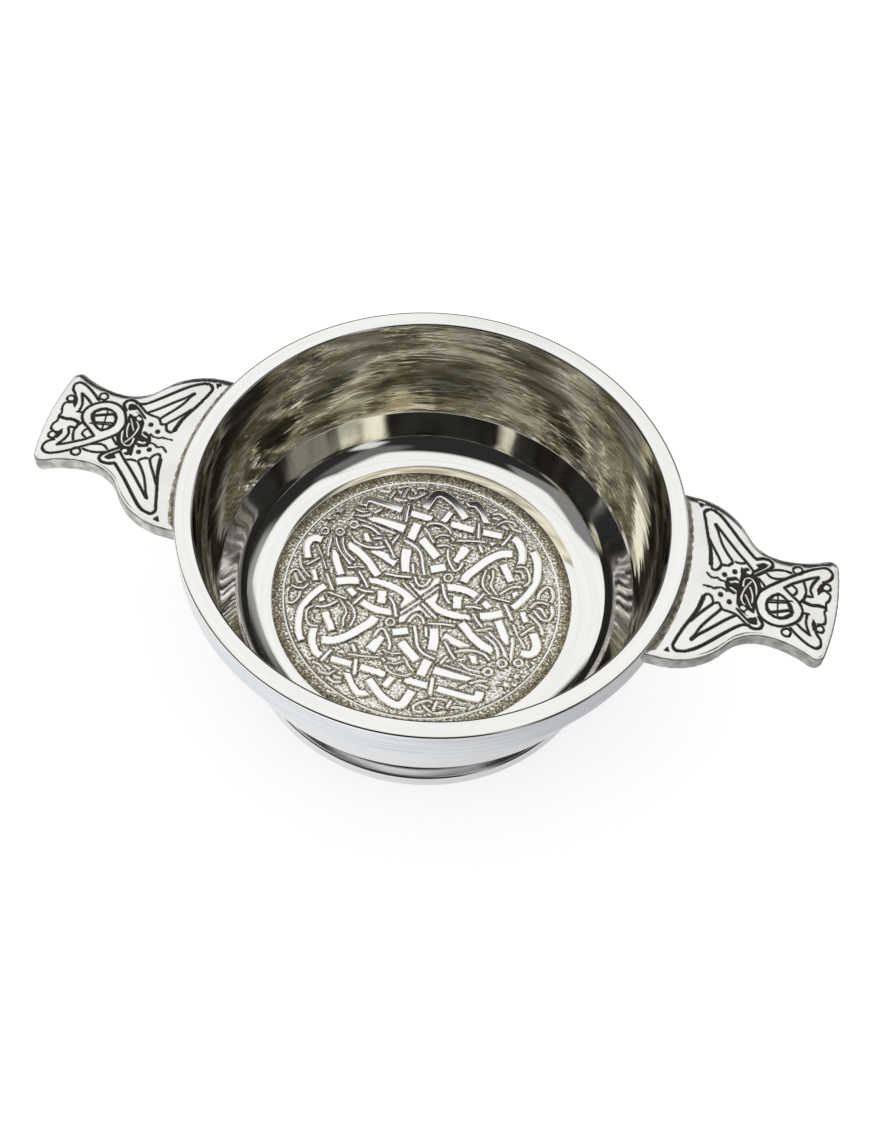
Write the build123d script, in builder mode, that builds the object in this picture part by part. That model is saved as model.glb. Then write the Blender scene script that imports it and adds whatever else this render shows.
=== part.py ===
"""A two-lugged drinking bowl (quaich) on a flared foot, in millimetres.

The origin is at the centre of the face that the foot stands on. +Z points up, and the two
lugs lie along +X and -X.
"""

import os
from math import asin, atan2, cos, degrees, radians, sin, sqrt, tan

from build123d import *

os.makedirs("parts", exist_ok=True)

# Bowl: inside, five tangent arcs lead from the upright wall over a crease to the flat floor
rim_height = 49.4  # from the table to the flat on top of the rim
rim_width = 4.0  # between the mouth and the upright band that carries the lugs
band_height = 7.4  # how far the band reaches down from the rim flat
rim_edge_radius = 0.6  # rounding of both edges of the rim flat
mouth_radius = 50.7
floor_height = 13.0
wall_thickness = 1.0
shoulder_radius = 67.0
shoulder_turn = 13.5
side_radius = 60.0
side_turn = 6.5
crease_radius = 1.0
crease_turn = 12.0
skirt_radius = 150.0  # the nearly straight run between the crease and the lower corner
skirt_turn = 2.2
corner_radius = 9.3

# Struck disc let into the floor
disc_offset = 0.9  # the disc sits this far off the bowl's axis, towards the left lug
disc_margin = 1.2  # between the disc's radius and the flat floor's
disc_thickness = 0.6
disc_clearance = 0.05
border_width = 2.5  # the sunk band round the disc, outside its raised line
border_depth = 0.2
line_width = 0.5
field_depth = 0.25  # the ornament's ground lies this far under the raised line

# Foot: a neck that flares out to an upright lip
neck_inset = 0.1  # the neck stands this far inside the edge of the flat underside
foot_thickness = 1.8
flare_radius = 6.2
flare_turn = 74.0
lip_reach = 6.2  # from the neck out to the lip
lip_height = 3.4
lip_edge_radius = 0.8
foot_bottom_edge = 0.4

# Lugs
lug_drop = 1.9  # from the rim flat down to the lug's top face, where it leaves the band
lug_thickness = 4.6
lug_rise = 1.2  # degrees, the lug climbs a little towards its tip
root_half_width = 20.9
flank_straight = 2.95  # the flank's straight run from the band
waist_reach = 19.3  # from the band to the waist
waist_half_width = 9.9
waist_inner_radius = 9.3
waist_outer_radius = 20.0
lug_length = 32.4  # from the band to the tip, on the lug's middle line
tip_radius = 60.0
tip_corner_radius = 1.9
lug_top_edge = 0.6
lug_bottom_edge = 1.3
root_overlap = 2.0  # how far the uncut root reaches inside the band

# Solder bead along the top of each lug's root
bead_width = 1.3
bead_height = 0.9
bead_end_inset = 0.6
bead_sink = 0.5  # how far the uncut bead reaches below the lug's top face

# Levels and radii that follow from the sizes above
corner_turn = 90.0 - shoulder_turn - side_turn - crease_turn - skirt_turn
wall_arcs = (
    (shoulder_radius, shoulder_turn),
    (side_radius, side_turn),
    (crease_radius, crease_turn),
    (skirt_radius, skirt_turn),
    (corner_radius, corner_turn),
)
angle = 0.0
wall_drop = 0.0
wall_inset = 0.0
for radius, turn in wall_arcs:
    next_angle = angle + radians(turn)
    wall_drop += radius * (sin(next_angle) - sin(angle))
    wall_inset += radius * (cos(angle) - cos(next_angle))
    angle = next_angle
shoulder_height = floor_height + wall_drop
floor_radius = mouth_radius - wall_inset
underside_height = floor_height - wall_thickness
seat_height = floor_height - disc_thickness
disc_radius = floor_radius - disc_margin
seat_radius = disc_radius + disc_clearance
band_radius = mouth_radius + rim_width
wall_radius = mouth_radius + wall_thickness
wall_middle_radius = mouth_radius + wall_thickness / 2
band_bottom = rim_height - band_height
band_slope_bottom = band_bottom - (band_radius - wall_middle_radius)

# Bowl: a wall of even thickness, with a thick upright band round the rim
with BuildPart() as bowl:
    with BuildSketch(Plane.XZ):
        with BuildLine():
            inner_wall = Line((mouth_radius, rim_height), (mouth_radius, shoulder_height))
            inner = inner_wall
            for radius, turn in wall_arcs:
                inner = JernArc(inner @ 1, inner % 1, radius, -turn)
            outer_wall = Line((wall_radius, rim_height), (wall_radius, shoulder_height))
            outer = outer_wall
            for radius, turn in wall_arcs:
                outer = JernArc(outer @ 1, outer % 1, radius + wall_thickness, -turn)
            Polyline(inner @ 1, (0, floor_height), (0, underside_height), outer @ 1)
            Line(inner_wall @ 0, outer_wall @ 0)
        make_face()
        with BuildLine():
            Polyline(
                (wall_middle_radius, rim_height),
                (band_radius, rim_height),
                (band_radius, band_bottom),
                (wall_middle_radius, band_slope_bottom),
                close=True,
            )
        make_face()
    revolve(axis=Axis.Z)
    rim_edges = bowl.edges().filter_by(GeomType.CIRCLE).group_by(Axis.Z)[-1]
    fillet(rim_edges, rim_edge_radius)
    with Locations((-disc_offset, 0, seat_height)):
        Cylinder(
            seat_radius,
            2 * disc_thickness,
            align=(Align.CENTER, Align.CENTER, Align.MIN),
            mode=Mode.SUBTRACT,
        )

# Disc: a flat field for the ornament, a raised line round it and a sunk border
line_outer_radius = disc_radius - border_width
line_inner_radius = line_outer_radius - line_width
disc_plane = Plane(origin=(-disc_offset, 0, 0), x_dir=(1, 0, 0), z_dir=(0, -1, 0))
with BuildPart() as base_medallion:
    with BuildSketch(disc_plane):
        with BuildLine():
            Polyline(
                (0, seat_height),
                (disc_radius, seat_height),
                (disc_radius, floor_height - border_depth),
                (line_outer_radius, floor_height - border_depth),
                (line_outer_radius, floor_height),
                (line_inner_radius, floor_height),
                (line_inner_radius, floor_height - field_depth),
                (0, floor_height - field_depth),
                close=True,
            )
        make_face()
    revolve(axis=Axis((-disc_offset, 0, 0), (0, 0, 1)))

# Foot: a thin ring whose hollow flare ends in an upright lip
neck_radius = floor_radius - neck_inset
lip_radius = neck_radius + lip_reach
flare_end_radius = neck_radius + flare_radius * (1 - cos(radians(flare_turn)))
flare_end_height = lip_height + (lip_radius - flare_end_radius) / tan(radians(flare_turn))
flare_top = flare_end_height + flare_radius * sin(radians(flare_turn))
inner_neck_radius = neck_radius - foot_thickness
with BuildPart() as foot_ring:
    with BuildSketch(Plane.XZ):
        with BuildLine():
            neck = Line((neck_radius, underside_height), (neck_radius, flare_top))
            flare = JernArc(neck @ 1, (0, -1), flare_radius, flare_turn)
            lip = Polyline(flare @ 1, (lip_radius, lip_height), (lip_radius, 0))
            inner_neck = Line((inner_neck_radius, underside_height), (inner_neck_radius, flare_top))
            inner_flare = JernArc(
                inner_neck @ 1, (0, -1), flare_radius + foot_thickness, flare_turn
            )
            Polyline(inner_flare @ 1, ((inner_flare @ 1).X, 0), lip @ 1)
            Line(neck @ 0, inner_neck @ 0)
        make_face()
    revolve(axis=Axis.Z)
    lip_edges = foot_ring.edges().filter_by(GeomType.CIRCLE).sort_by(SortBy.RADIUS)[-2:]
    fillet(lip_edges.sort_by(Axis.Z)[-1], lip_edge_radius)
    bottom_edge = foot_ring.edges().filter_by(GeomType.CIRCLE).group_by(Axis.Z)[0]
    fillet(bottom_edge.sort_by(SortBy.RADIUS)[-1], foot_bottom_edge)

# Lugs: fishtail plates cut to the band, the left one the right one turned half round
lug_height = rim_height - lug_drop
root_corner_x = sqrt(band_radius**2 - root_half_width**2)
root_x = root_corner_x - root_overlap
flank_start_x = root_corner_x + flank_straight
waist_x = band_radius + waist_reach
tip_x = band_radius + lug_length
flank_drop = root_half_width - waist_half_width
flank_run = waist_x - flank_start_x
flank_radii = (flank_run**2 + flank_drop**2) / (2 * flank_drop)
flank_radius = flank_radii - waist_inner_radius
flank_rise = flank_radii - flank_drop
flank_angle = degrees(atan2(flank_rise, flank_run))
tail_angle = degrees(asin((tip_x - waist_x) / waist_outer_radius))
rise_angle = radians(lug_rise)
bead_half_angle = asin((root_half_width - bead_end_inset) / band_radius)

for side, turn in (("right", 0.0), ("left", 180.0)):
    along_x = cos(radians(turn))
    along_y = sin(radians(turn))
    lug_plane = Plane(
        origin=(0, 0, lug_height - band_radius * tan(rise_angle)),
        x_dir=(along_x * cos(rise_angle), along_y * cos(rise_angle), sin(rise_angle)),
        z_dir=(-along_x * sin(rise_angle), -along_y * sin(rise_angle), cos(rise_angle)),
    )
    with BuildPart() as lug:
        with BuildSketch(lug_plane) as outline:
            with BuildLine():
                root = Polyline(
                    (root_x, 0), (root_x, root_half_width), (flank_start_x, root_half_width)
                )
                CenterArc(
                    (flank_start_x, root_half_width - flank_radius),
                    flank_radius,
                    90,
                    flank_angle - 90,
                )
                CenterArc(
                    (waist_x, waist_half_width + waist_inner_radius),
                    waist_inner_radius,
                    180 + flank_angle,
                    90 - flank_angle,
                )
                tail = CenterArc(
                    (waist_x, waist_half_width + waist_outer_radius),
                    waist_outer_radius,
                    270,
                    tail_angle,
                )
                Line(tail @ 1, (tip_x, 0))
                mirror(about=Plane.XZ)
            make_face()
            with Locations((tip_x - tip_radius, 0)):
                Circle(tip_radius, mode=Mode.INTERSECT)
            fillet(outline.vertices().sort_by(Axis.X)[-2:], tip_corner_radius)
        extrude(amount=-lug_thickness)
        across = Axis((0, 0, 0), lug_plane.z_dir)
        along = Axis((0, 0, 0), lug_plane.x_dir)
        top_edges = lug.faces().sort_by(across)[-1].edges().sort_by(along)[1:]
        fillet(top_edges, lug_top_edge)
        bottom_edges = lug.faces().sort_by(across)[0].edges().sort_by(along)[1:]
        fillet(bottom_edges, lug_bottom_edge)
        Cylinder(band_radius, 2 * rim_height, mode=Mode.SUBTRACT)
    lug.part.label = f"lug_{side}"
    export_step(lug.part, f"parts/lug_{side}.step")

    start = radians(turn) - bead_half_angle
    bead_plane = Plane(
        origin=(0, 0, 0), x_dir=(cos(start), sin(start), 0), z_dir=(sin(start), -cos(start), 0)
    )
    with BuildPart() as bead:
        with BuildSketch(bead_plane):
            with BuildLine():
                Polyline(
                    (band_radius, lug_height - bead_sink),
                    (band_radius, lug_height + bead_height),
                    (band_radius + bead_width, lug_height),
                    (band_radius + bead_width, lug_height - bead_sink),
                    close=True,
                )
            make_face()
        revolve(axis=Axis.Z, revolution_arc=2 * degrees(bead_half_angle))
        add(lug.part, mode=Mode.SUBTRACT)
    bead.part.label = f"lug_solder_{side}"
    export_step(bead.part, f"parts/lug_solder_{side}.step")

for name, piece in (
    ("bowl", bowl),
    ("base_medallion", base_medallion),
    ("foot_ring", foot_ring),
):
    piece.part.label = name
    export_step(piece.part, f"parts/{name}.step")
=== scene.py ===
import logging
import math
from dataclasses import dataclass, field
from enum import Enum

import bpy
import numpy as np
from mathutils import Matrix, Vector


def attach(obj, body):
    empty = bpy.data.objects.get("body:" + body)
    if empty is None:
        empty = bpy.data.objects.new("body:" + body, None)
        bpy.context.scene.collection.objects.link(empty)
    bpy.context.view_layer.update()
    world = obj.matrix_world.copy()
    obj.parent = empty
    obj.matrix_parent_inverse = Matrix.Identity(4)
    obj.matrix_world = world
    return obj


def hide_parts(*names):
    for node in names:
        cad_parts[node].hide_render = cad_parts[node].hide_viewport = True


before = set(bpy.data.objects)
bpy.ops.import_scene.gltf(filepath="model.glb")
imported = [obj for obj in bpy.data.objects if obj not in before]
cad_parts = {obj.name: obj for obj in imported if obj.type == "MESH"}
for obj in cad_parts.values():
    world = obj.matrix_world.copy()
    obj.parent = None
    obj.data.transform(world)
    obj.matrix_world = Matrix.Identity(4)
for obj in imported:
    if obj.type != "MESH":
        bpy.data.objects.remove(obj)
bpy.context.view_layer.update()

MM = 0.001

log = logging.getLogger("quaich")


# Curves and profiles


def fillet_path(corners: list[tuple[float, float]], radii: list[float], steps: int = 7) -> np.ndarray:
    """Joins straight runs with circular arcs.

    Each inner corner is replaced by the arc that touches both of its runs. A point just outside
    each end of an arc keeps the flat beside it flat when the surface is shaded.

    Args:
        corners: The corners of the path, in millimetres.
        radii: One radius for each corner, 0 for a sharp one and for the two ends.
        steps: How many pieces each arc has.

    Returns:
        The points of the path, one row each.
    """
    points = [np.array(corners[0], float)]
    for before, corner, after, radius in zip(corners, corners[1:], corners[2:], radii[1:]):
        b, c, a = (np.array(p, float) for p in (before, corner, after))
        arriving = (c - b) / np.linalg.norm(c - b)
        leaving = (a - c) / np.linalg.norm(a - c)
        if radius <= 0:
            points.append(c)
            continue
        turn = math.acos(float(np.clip(arriving @ leaving, -1, 1)))
        reach = radius * math.tan(turn / 2)
        side = math.copysign(1.0, arriving[0] * leaving[1] - arriving[1] * leaving[0])
        normal = side * np.array([-arriving[1], arriving[0]])
        centre = c - arriving * reach + normal * radius
        angles = np.linspace(0.0, turn, steps + 1)
        arc = centre - np.outer(np.cos(angles), normal) * radius + np.outer(np.sin(angles), arriving) * radius
        points.append(c - arriving * (reach + 0.04))
        points.extend(arc)
        points.append(c + leaving * (reach + 0.04))
    points.append(np.array(corners[-1], float))
    return np.array(points)


class ProfilePen:
    """Draws a profile of straight runs and tangent arcs, in millimetres and degrees."""

    def __init__(self, x: float, y: float, heading: float) -> None:
        """Puts the pen down.

        Args:
            x: Where the profile starts.
            y: Its height there.
            heading: The direction it starts in, counted from +X towards +Y.
        """
        self.runs = [np.array([[x, y]])]
        self.heading = math.radians(heading)

    def straight(self, length: float, steps: int = 4) -> "ProfilePen":
        """Draws a straight run of the given length, and returns the pen."""
        along = np.array([math.cos(self.heading), math.sin(self.heading)])
        self.runs.append(self.runs[-1][-1] + np.outer(np.linspace(0, length, steps + 1)[1:], along))
        return self

    def bend(self, radius: float, turn: float, steps: int) -> "ProfilePen":
        """Draws an arc, to the left where turn is above 0, and returns the pen."""
        side = math.copysign(1.0, turn)
        start = self.runs[-1][-1]
        centre = start + side * radius * np.array([-math.sin(self.heading), math.cos(self.heading)])
        angles = self.heading + math.radians(turn) * np.linspace(0, 1, steps + 1)[1:]
        self.runs.append(centre + side * radius * np.stack([np.sin(angles), -np.cos(angles)], 1))
        self.heading += math.radians(turn)
        return self

    def points(self) -> np.ndarray:
        """All points drawn so far, one row each."""
        return np.concatenate(self.runs)


def smooth_run(points: np.ndarray, steps: int = 7) -> np.ndarray:
    """Runs a smooth curve through given points.

    Between two points it is the cubic whose slope at each end is half the step from the point
    before to the point after.

    Args:
        points: The points that it goes through.
        steps: How many pieces each stretch between two points has.

    Returns:
        The points of the curve.
    """
    if len(points) < 3:
        return points
    ends = np.concatenate([[2 * points[0] - points[1]], points, [2 * points[-1] - points[-2]]])
    p0, p1, p2, p3 = (ends[i : len(ends) - 3 + i, None] for i in range(4))
    t = np.linspace(0, 1, steps, endpoint=False)[None, :, None]
    curve = p1 + 0.5 * t * (p2 - p0 + t * (2 * p0 - 5 * p1 + 4 * p2 - p3 + t * (3 * p1 - 3 * p2 + p3 - p0)))
    return np.concatenate([curve.reshape(-1, 2), points[-1:]])


def ripple(x: np.ndarray, y: np.ndarray, pitch: float, seed: int) -> np.ndarray:
    """An uneven surface: twelve sine waves of about one pitch, in random directions and phases.

    Args:
        x: First coordinate of the points.
        y: Second coordinate of the points.
        pitch: The usual distance between two crests.
        seed: Picks the directions and phases.

    Returns:
        A height from about -1 to 1 at each point.
    """
    rng = np.random.default_rng(seed)
    angle, phase = rng.uniform(0, 2 * np.pi, (2, 12))
    rate = 2 * np.pi / (pitch * rng.uniform(0.6, 1.6, 12))
    waves = (np.sin(r * (x * math.cos(a) + y * math.sin(a)) + p) for a, p, r in zip(angle, phase, rate))
    return sum(waves) / 4.0


# Meshes


def make_piece(name: str, vertices: np.ndarray, faces: list, sharp: float = 40.0) -> bpy.types.Object:
    """Makes a smooth-shaded mesh object at the origin, with its faces outwards.

    A closed surface whose signed volume comes out below 0 is turned inside out.

    Args:
        name: The object's name.
        vertices: Its points in metres, one row each.
        faces: Lists of point numbers.
        sharp: Edges that turn by more than this many degrees stay sharp.

    Returns:
        The object.
    """
    mesh = bpy.data.meshes.new(name)
    mesh.from_pydata(vertices.tolist(), [], faces)
    mesh.update()
    mesh.calc_loop_triangles()
    corners = np.zeros(len(mesh.loop_triangles) * 3, np.int64)
    mesh.loop_triangles.foreach_get("vertices", corners)
    a, b, c = vertices[corners.reshape(-1, 3)].transpose(1, 0, 2)
    if np.einsum("ij,ij->i", a, np.cross(b, c)).sum() < 0:
        mesh.flip_normals()
    mesh.polygons.foreach_set("use_smooth", np.ones(len(mesh.polygons), bool))
    mesh.set_sharp_from_angle(angle=math.radians(sharp))
    piece = bpy.data.objects.new(name, mesh)
    bpy.context.scene.collection.objects.link(piece)
    return piece


def mark(piece: bpy.types.Object, name: str, values: np.ndarray) -> None:
    """Gives every point of a piece a number that its material reads.

    Args:
        piece: The object.
        name: The attribute's name.
        values: One value for each point.
    """
    attribute = piece.data.attributes.new(name, "FLOAT", "POINT")
    attribute.data.foreach_set("value", values.astype(np.float32))


def mark_rings(piece: bpy.types.Object, profile: np.ndarray, segments: int, **values: np.ndarray) -> None:
    """Marks a turned piece with one value for each point of its profile.

    Args:
        piece: The object.
        profile: The profile that it was turned from.
        segments: How many pieces a full turn has.
        values: For each attribute, a value for each point of the profile.
    """
    for name, value in values.items():
        if profile[0, 0] < 1e-6:
            mark(piece, name, np.concatenate([np.repeat(value[1:-1], segments), value[[0, -1]]]))
        else:
            mark(piece, name, np.repeat(value, segments))


def ring_faces(rows: int, columns: int, close_rows: bool) -> list:
    """Faces of a grid of points whose columns go all the way round.

    Args:
        rows: How many rows of points there are.
        columns: How many points each row has.
        close_rows: Whether the last row joins the first.

    Returns:
        The four point numbers of each face.
    """
    row = np.arange(rows if close_rows else rows - 1)[:, None]
    column = np.arange(columns)[None, :]
    below, beside = (row + 1) % rows, (column + 1) % columns
    corners = [row * columns + column, row * columns + beside, below * columns + beside, below * columns + column]
    return np.stack([c + 0 * row for c in corners], -1).reshape(-1, 4).tolist()


def turned(name: str, profile: np.ndarray, segments: int, aside: np.ndarray | None = None) -> bpy.types.Object:
    """Turns a profile round the upright axis.

    The surface is (r cos a + s, r sin a, z), with (r, z) along the profile, a from 0 to a full
    turn and s a shift of that ring. A profile that starts and ends on the axis gets one point at
    each pole, and any other closes on itself.

    Args:
        name: The object's name.
        profile: Radius and height of each point, in millimetres.
        segments: How many pieces a full turn has.
        aside: How far each point's ring is shifted along X, 0 where it isn't given.

    Returns:
        The object.
    """
    on_axis = profile[0, 0] < 1e-6
    shifts = np.zeros(len(profile)) if aside is None else aside
    points = np.column_stack([profile, shifts])
    rings = points[1:-1] if on_axis else points
    angle = np.linspace(0, 2 * np.pi, segments, endpoint=False)
    radius, height, shift = (rings[:, k : k + 1] + 0 * angle for k in range(3))
    grid = np.stack([radius * np.cos(angle) + shift, radius * np.sin(angle), height], -1).reshape(-1, 3)
    faces = ring_faces(len(rings), segments, not on_axis)
    if on_axis:
        start, end, last = len(grid), len(grid) + 1, (len(rings) - 1) * segments
        grid = np.concatenate([grid, [[shifts[0], 0, profile[0, 1]], [shifts[-1], 0, profile[-1, 1]]]])
        around = [(k, (k + 1) % segments) for k in range(segments)]
        faces += [[start, j, i] for i, j in around] + [[end, last + i, last + j] for i, j in around]
    return make_piece(name, grid * MM, faces)


# Ornament: strokes laid over each other in order, as distances from given lines


class Cut(Enum):
    """What a stroke of the ornament does to the metal."""

    GROOVE = "sunk and dark"
    LAND = "level with the face and polished"
    RIBBON = "level and polished, with square ends and a groove all round"
    STRAND = "a rounded cord with a bright crest, and a groove along both sides"
    PATCH = "a level polished area with a groove round it"
    PIT = "a sunk dark area"
    ISLAND = "a level area in a sunk one"


@dataclass(frozen=True)
class Stroke:
    """One stroke: what it does, how wide it is at its two ends, and where it goes."""

    cut: Cut
    width: float
    points: tuple[tuple[float, float], ...]
    end_width: float | None = None

    def distances(self, where: np.ndarray, turn: float) -> tuple[np.ndarray, np.ndarray]:
        """How far points are outside the stroke's edge, below 0 inside it.

        A cord's or groove's is the least distance to any short straight piece of its line, less
        its half width. A ribbon's is the least distance to a row of boxes, one on each piece, each
        long enough to make a square corner with the next and to lap over it. An area's is the least distance to its
        edge, inside where a ray crosses the edge an odd number of times.

        Args:
            where: The points, in millimetres.
            turn: 1, or -1 for the stroke turned half round.

        Returns:
            The distances, and the stroke's half width at its nearest place.
        """
        corners = np.array(self.points) * turn
        closed = self.cut in (Cut.PATCH, Cut.PIT, Cut.ISLAND)
        line = np.concatenate([corners, corners[:1]]) if closed else smooth_run(corners)
        start, step = line[:-1], np.diff(line, axis=0)
        length = np.maximum(np.linalg.norm(step, axis=1), 1e-6)
        heading = step / length[:, None]
        offset = where[:, None] - start
        along = np.einsum("pij,ij->pi", offset, heading)
        aside = np.abs(offset[..., 0] * heading[:, 1] - offset[..., 1] * heading[:, 0])
        beyond = np.maximum(np.maximum(-along, along - length), 0.0)
        piece = np.arange(len(step)) + np.clip(along / length, 0, 1)
        end = self.width if self.end_width is None else self.end_width
        half = (self.width + (end - self.width) * piece / len(step)) / 2
        if self.cut is Cut.RIBBON:
            straight = np.clip((heading[:-1] * heading[1:]).sum(1), -0.2, 1)
            mitre = np.sqrt((1 - straight) / (1 + straight)) * max(self.width, end) / 2
            mitre += 0.35 * np.clip(straight, 0, 1) ** 6
            before, after = np.concatenate([[0], mitre]), np.concatenate([mitre, [0]])
            edge = np.maximum(aside - half, np.maximum(-along - before, along - length - after))
        else:
            edge = np.hypot(aside, beyond) - half
        nearest = edge.argmin(1)
        rows = np.arange(len(where))
        edge, half = edge[rows, nearest], half[rows, nearest]
        if closed:
            x, y = where[:, :1], where[:, 1:]
            crossing = (start[:, 1] > y) != (start[:, 1] + step[:, 1] > y)
            safe = np.where(np.abs(step[:, 1]) < 1e-9, 1e-9, step[:, 1])
            crossing &= x < start[:, 0] + (y - start[:, 1]) * step[:, 0] / safe
            edge = np.where(crossing.sum(1) % 2 == 1, -edge, edge)
        return edge, half

    def near(self, where: np.ndarray, turn: float, reach: float) -> np.ndarray:
        """The numbers of the points that lie in the stroke's box, widened by reach."""
        corners = np.array(self.points) * turn
        low, high = corners.min(0) - reach, corners.max(0) + reach
        return np.nonzero(((where > low) & (where < high)).all(1))[0]


@dataclass
class Relief:
    """The worked face of a piece: how deep and how dark it is at each of its points."""

    where: np.ndarray
    ground_depth: float
    ground_dark: float
    groove_width: float = 0.24
    groove_depth: float = 0.42
    groove_dark: float = 0.66
    crest_width: float = 0.42
    cord_dark: float = 0.16
    softness: float = 0.1
    depth: np.ndarray = field(init=False)
    dark: np.ndarray = field(init=False)

    def __post_init__(self) -> None:
        """Starts with bare ground everywhere."""
        self.depth = np.full(len(self.where), self.ground_depth)
        self.dark = np.full(len(self.where), self.ground_dark)

    def inside(self, distance: np.ndarray) -> np.ndarray:
        """1 inside an edge and 0 outside it, with a soft slope of 3t^2 - 2t^3 between."""
        t = np.clip(0.5 - distance / (2 * self.softness), 0, 1)
        return t * t * (3 - 2 * t)

    def lay(self, spots: np.ndarray, cover: np.ndarray, depth: np.ndarray | float, dark: np.ndarray | float) -> None:
        """Moves depth and darkness at some points to new values, as far as cover says."""
        self.depth[spots] += cover * (depth - self.depth[spots])
        self.dark[spots] += cover * (dark - self.dark[spots])

    def shade(self, stroke: Stroke, turn: float, reach: float, extra: float) -> None:
        """Darkens the ground beside a stroke, most at its edge and not at all past reach."""
        spots = stroke.near(self.where, turn, stroke.width / 2 + reach)
        if len(spots):
            edge, _ = stroke.distances(self.where[spots], turn)
            nearness = np.clip(1 - edge / reach, 0, 1)
            self.dark[spots] = np.maximum(self.dark[spots], self.ground_dark + extra * nearness)

    def draw(self, stroke: Stroke, turn: float = 1.0) -> None:
        """Lays one stroke over what is there.

        Args:
            stroke: The stroke.
            turn: 1, or -1 for the stroke turned half round.
        """
        widest = max(stroke.width, stroke.end_width or 0) / 2 + self.groove_width + self.softness
        spots = stroke.near(self.where, turn, widest)
        if not len(spots):
            return
        edge, half = stroke.distances(self.where[spots], turn)
        body = self.inside(edge)
        if stroke.cut in (Cut.RIBBON, Cut.STRAND, Cut.PATCH):
            self.lay(spots, self.inside(edge - self.groove_width), self.groove_depth, self.groove_dark)
        if stroke.cut in (Cut.GROOVE, Cut.PIT):
            self.lay(spots, body, self.groove_depth, self.groove_dark)
        elif stroke.cut is Cut.STRAND:
            swell = np.clip(1 - (1 + edge / np.maximum(half, 0.05)) ** 2, 0, 1)
            crest = self.inside(edge + half - self.crest_width / 2)
            self.lay(spots, body, 0.3 - 0.26 * np.sqrt(swell), self.cord_dark * (1 - crest))
        else:
            self.lay(spots, body, 0.0, 0.0)


# Finishes


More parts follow.
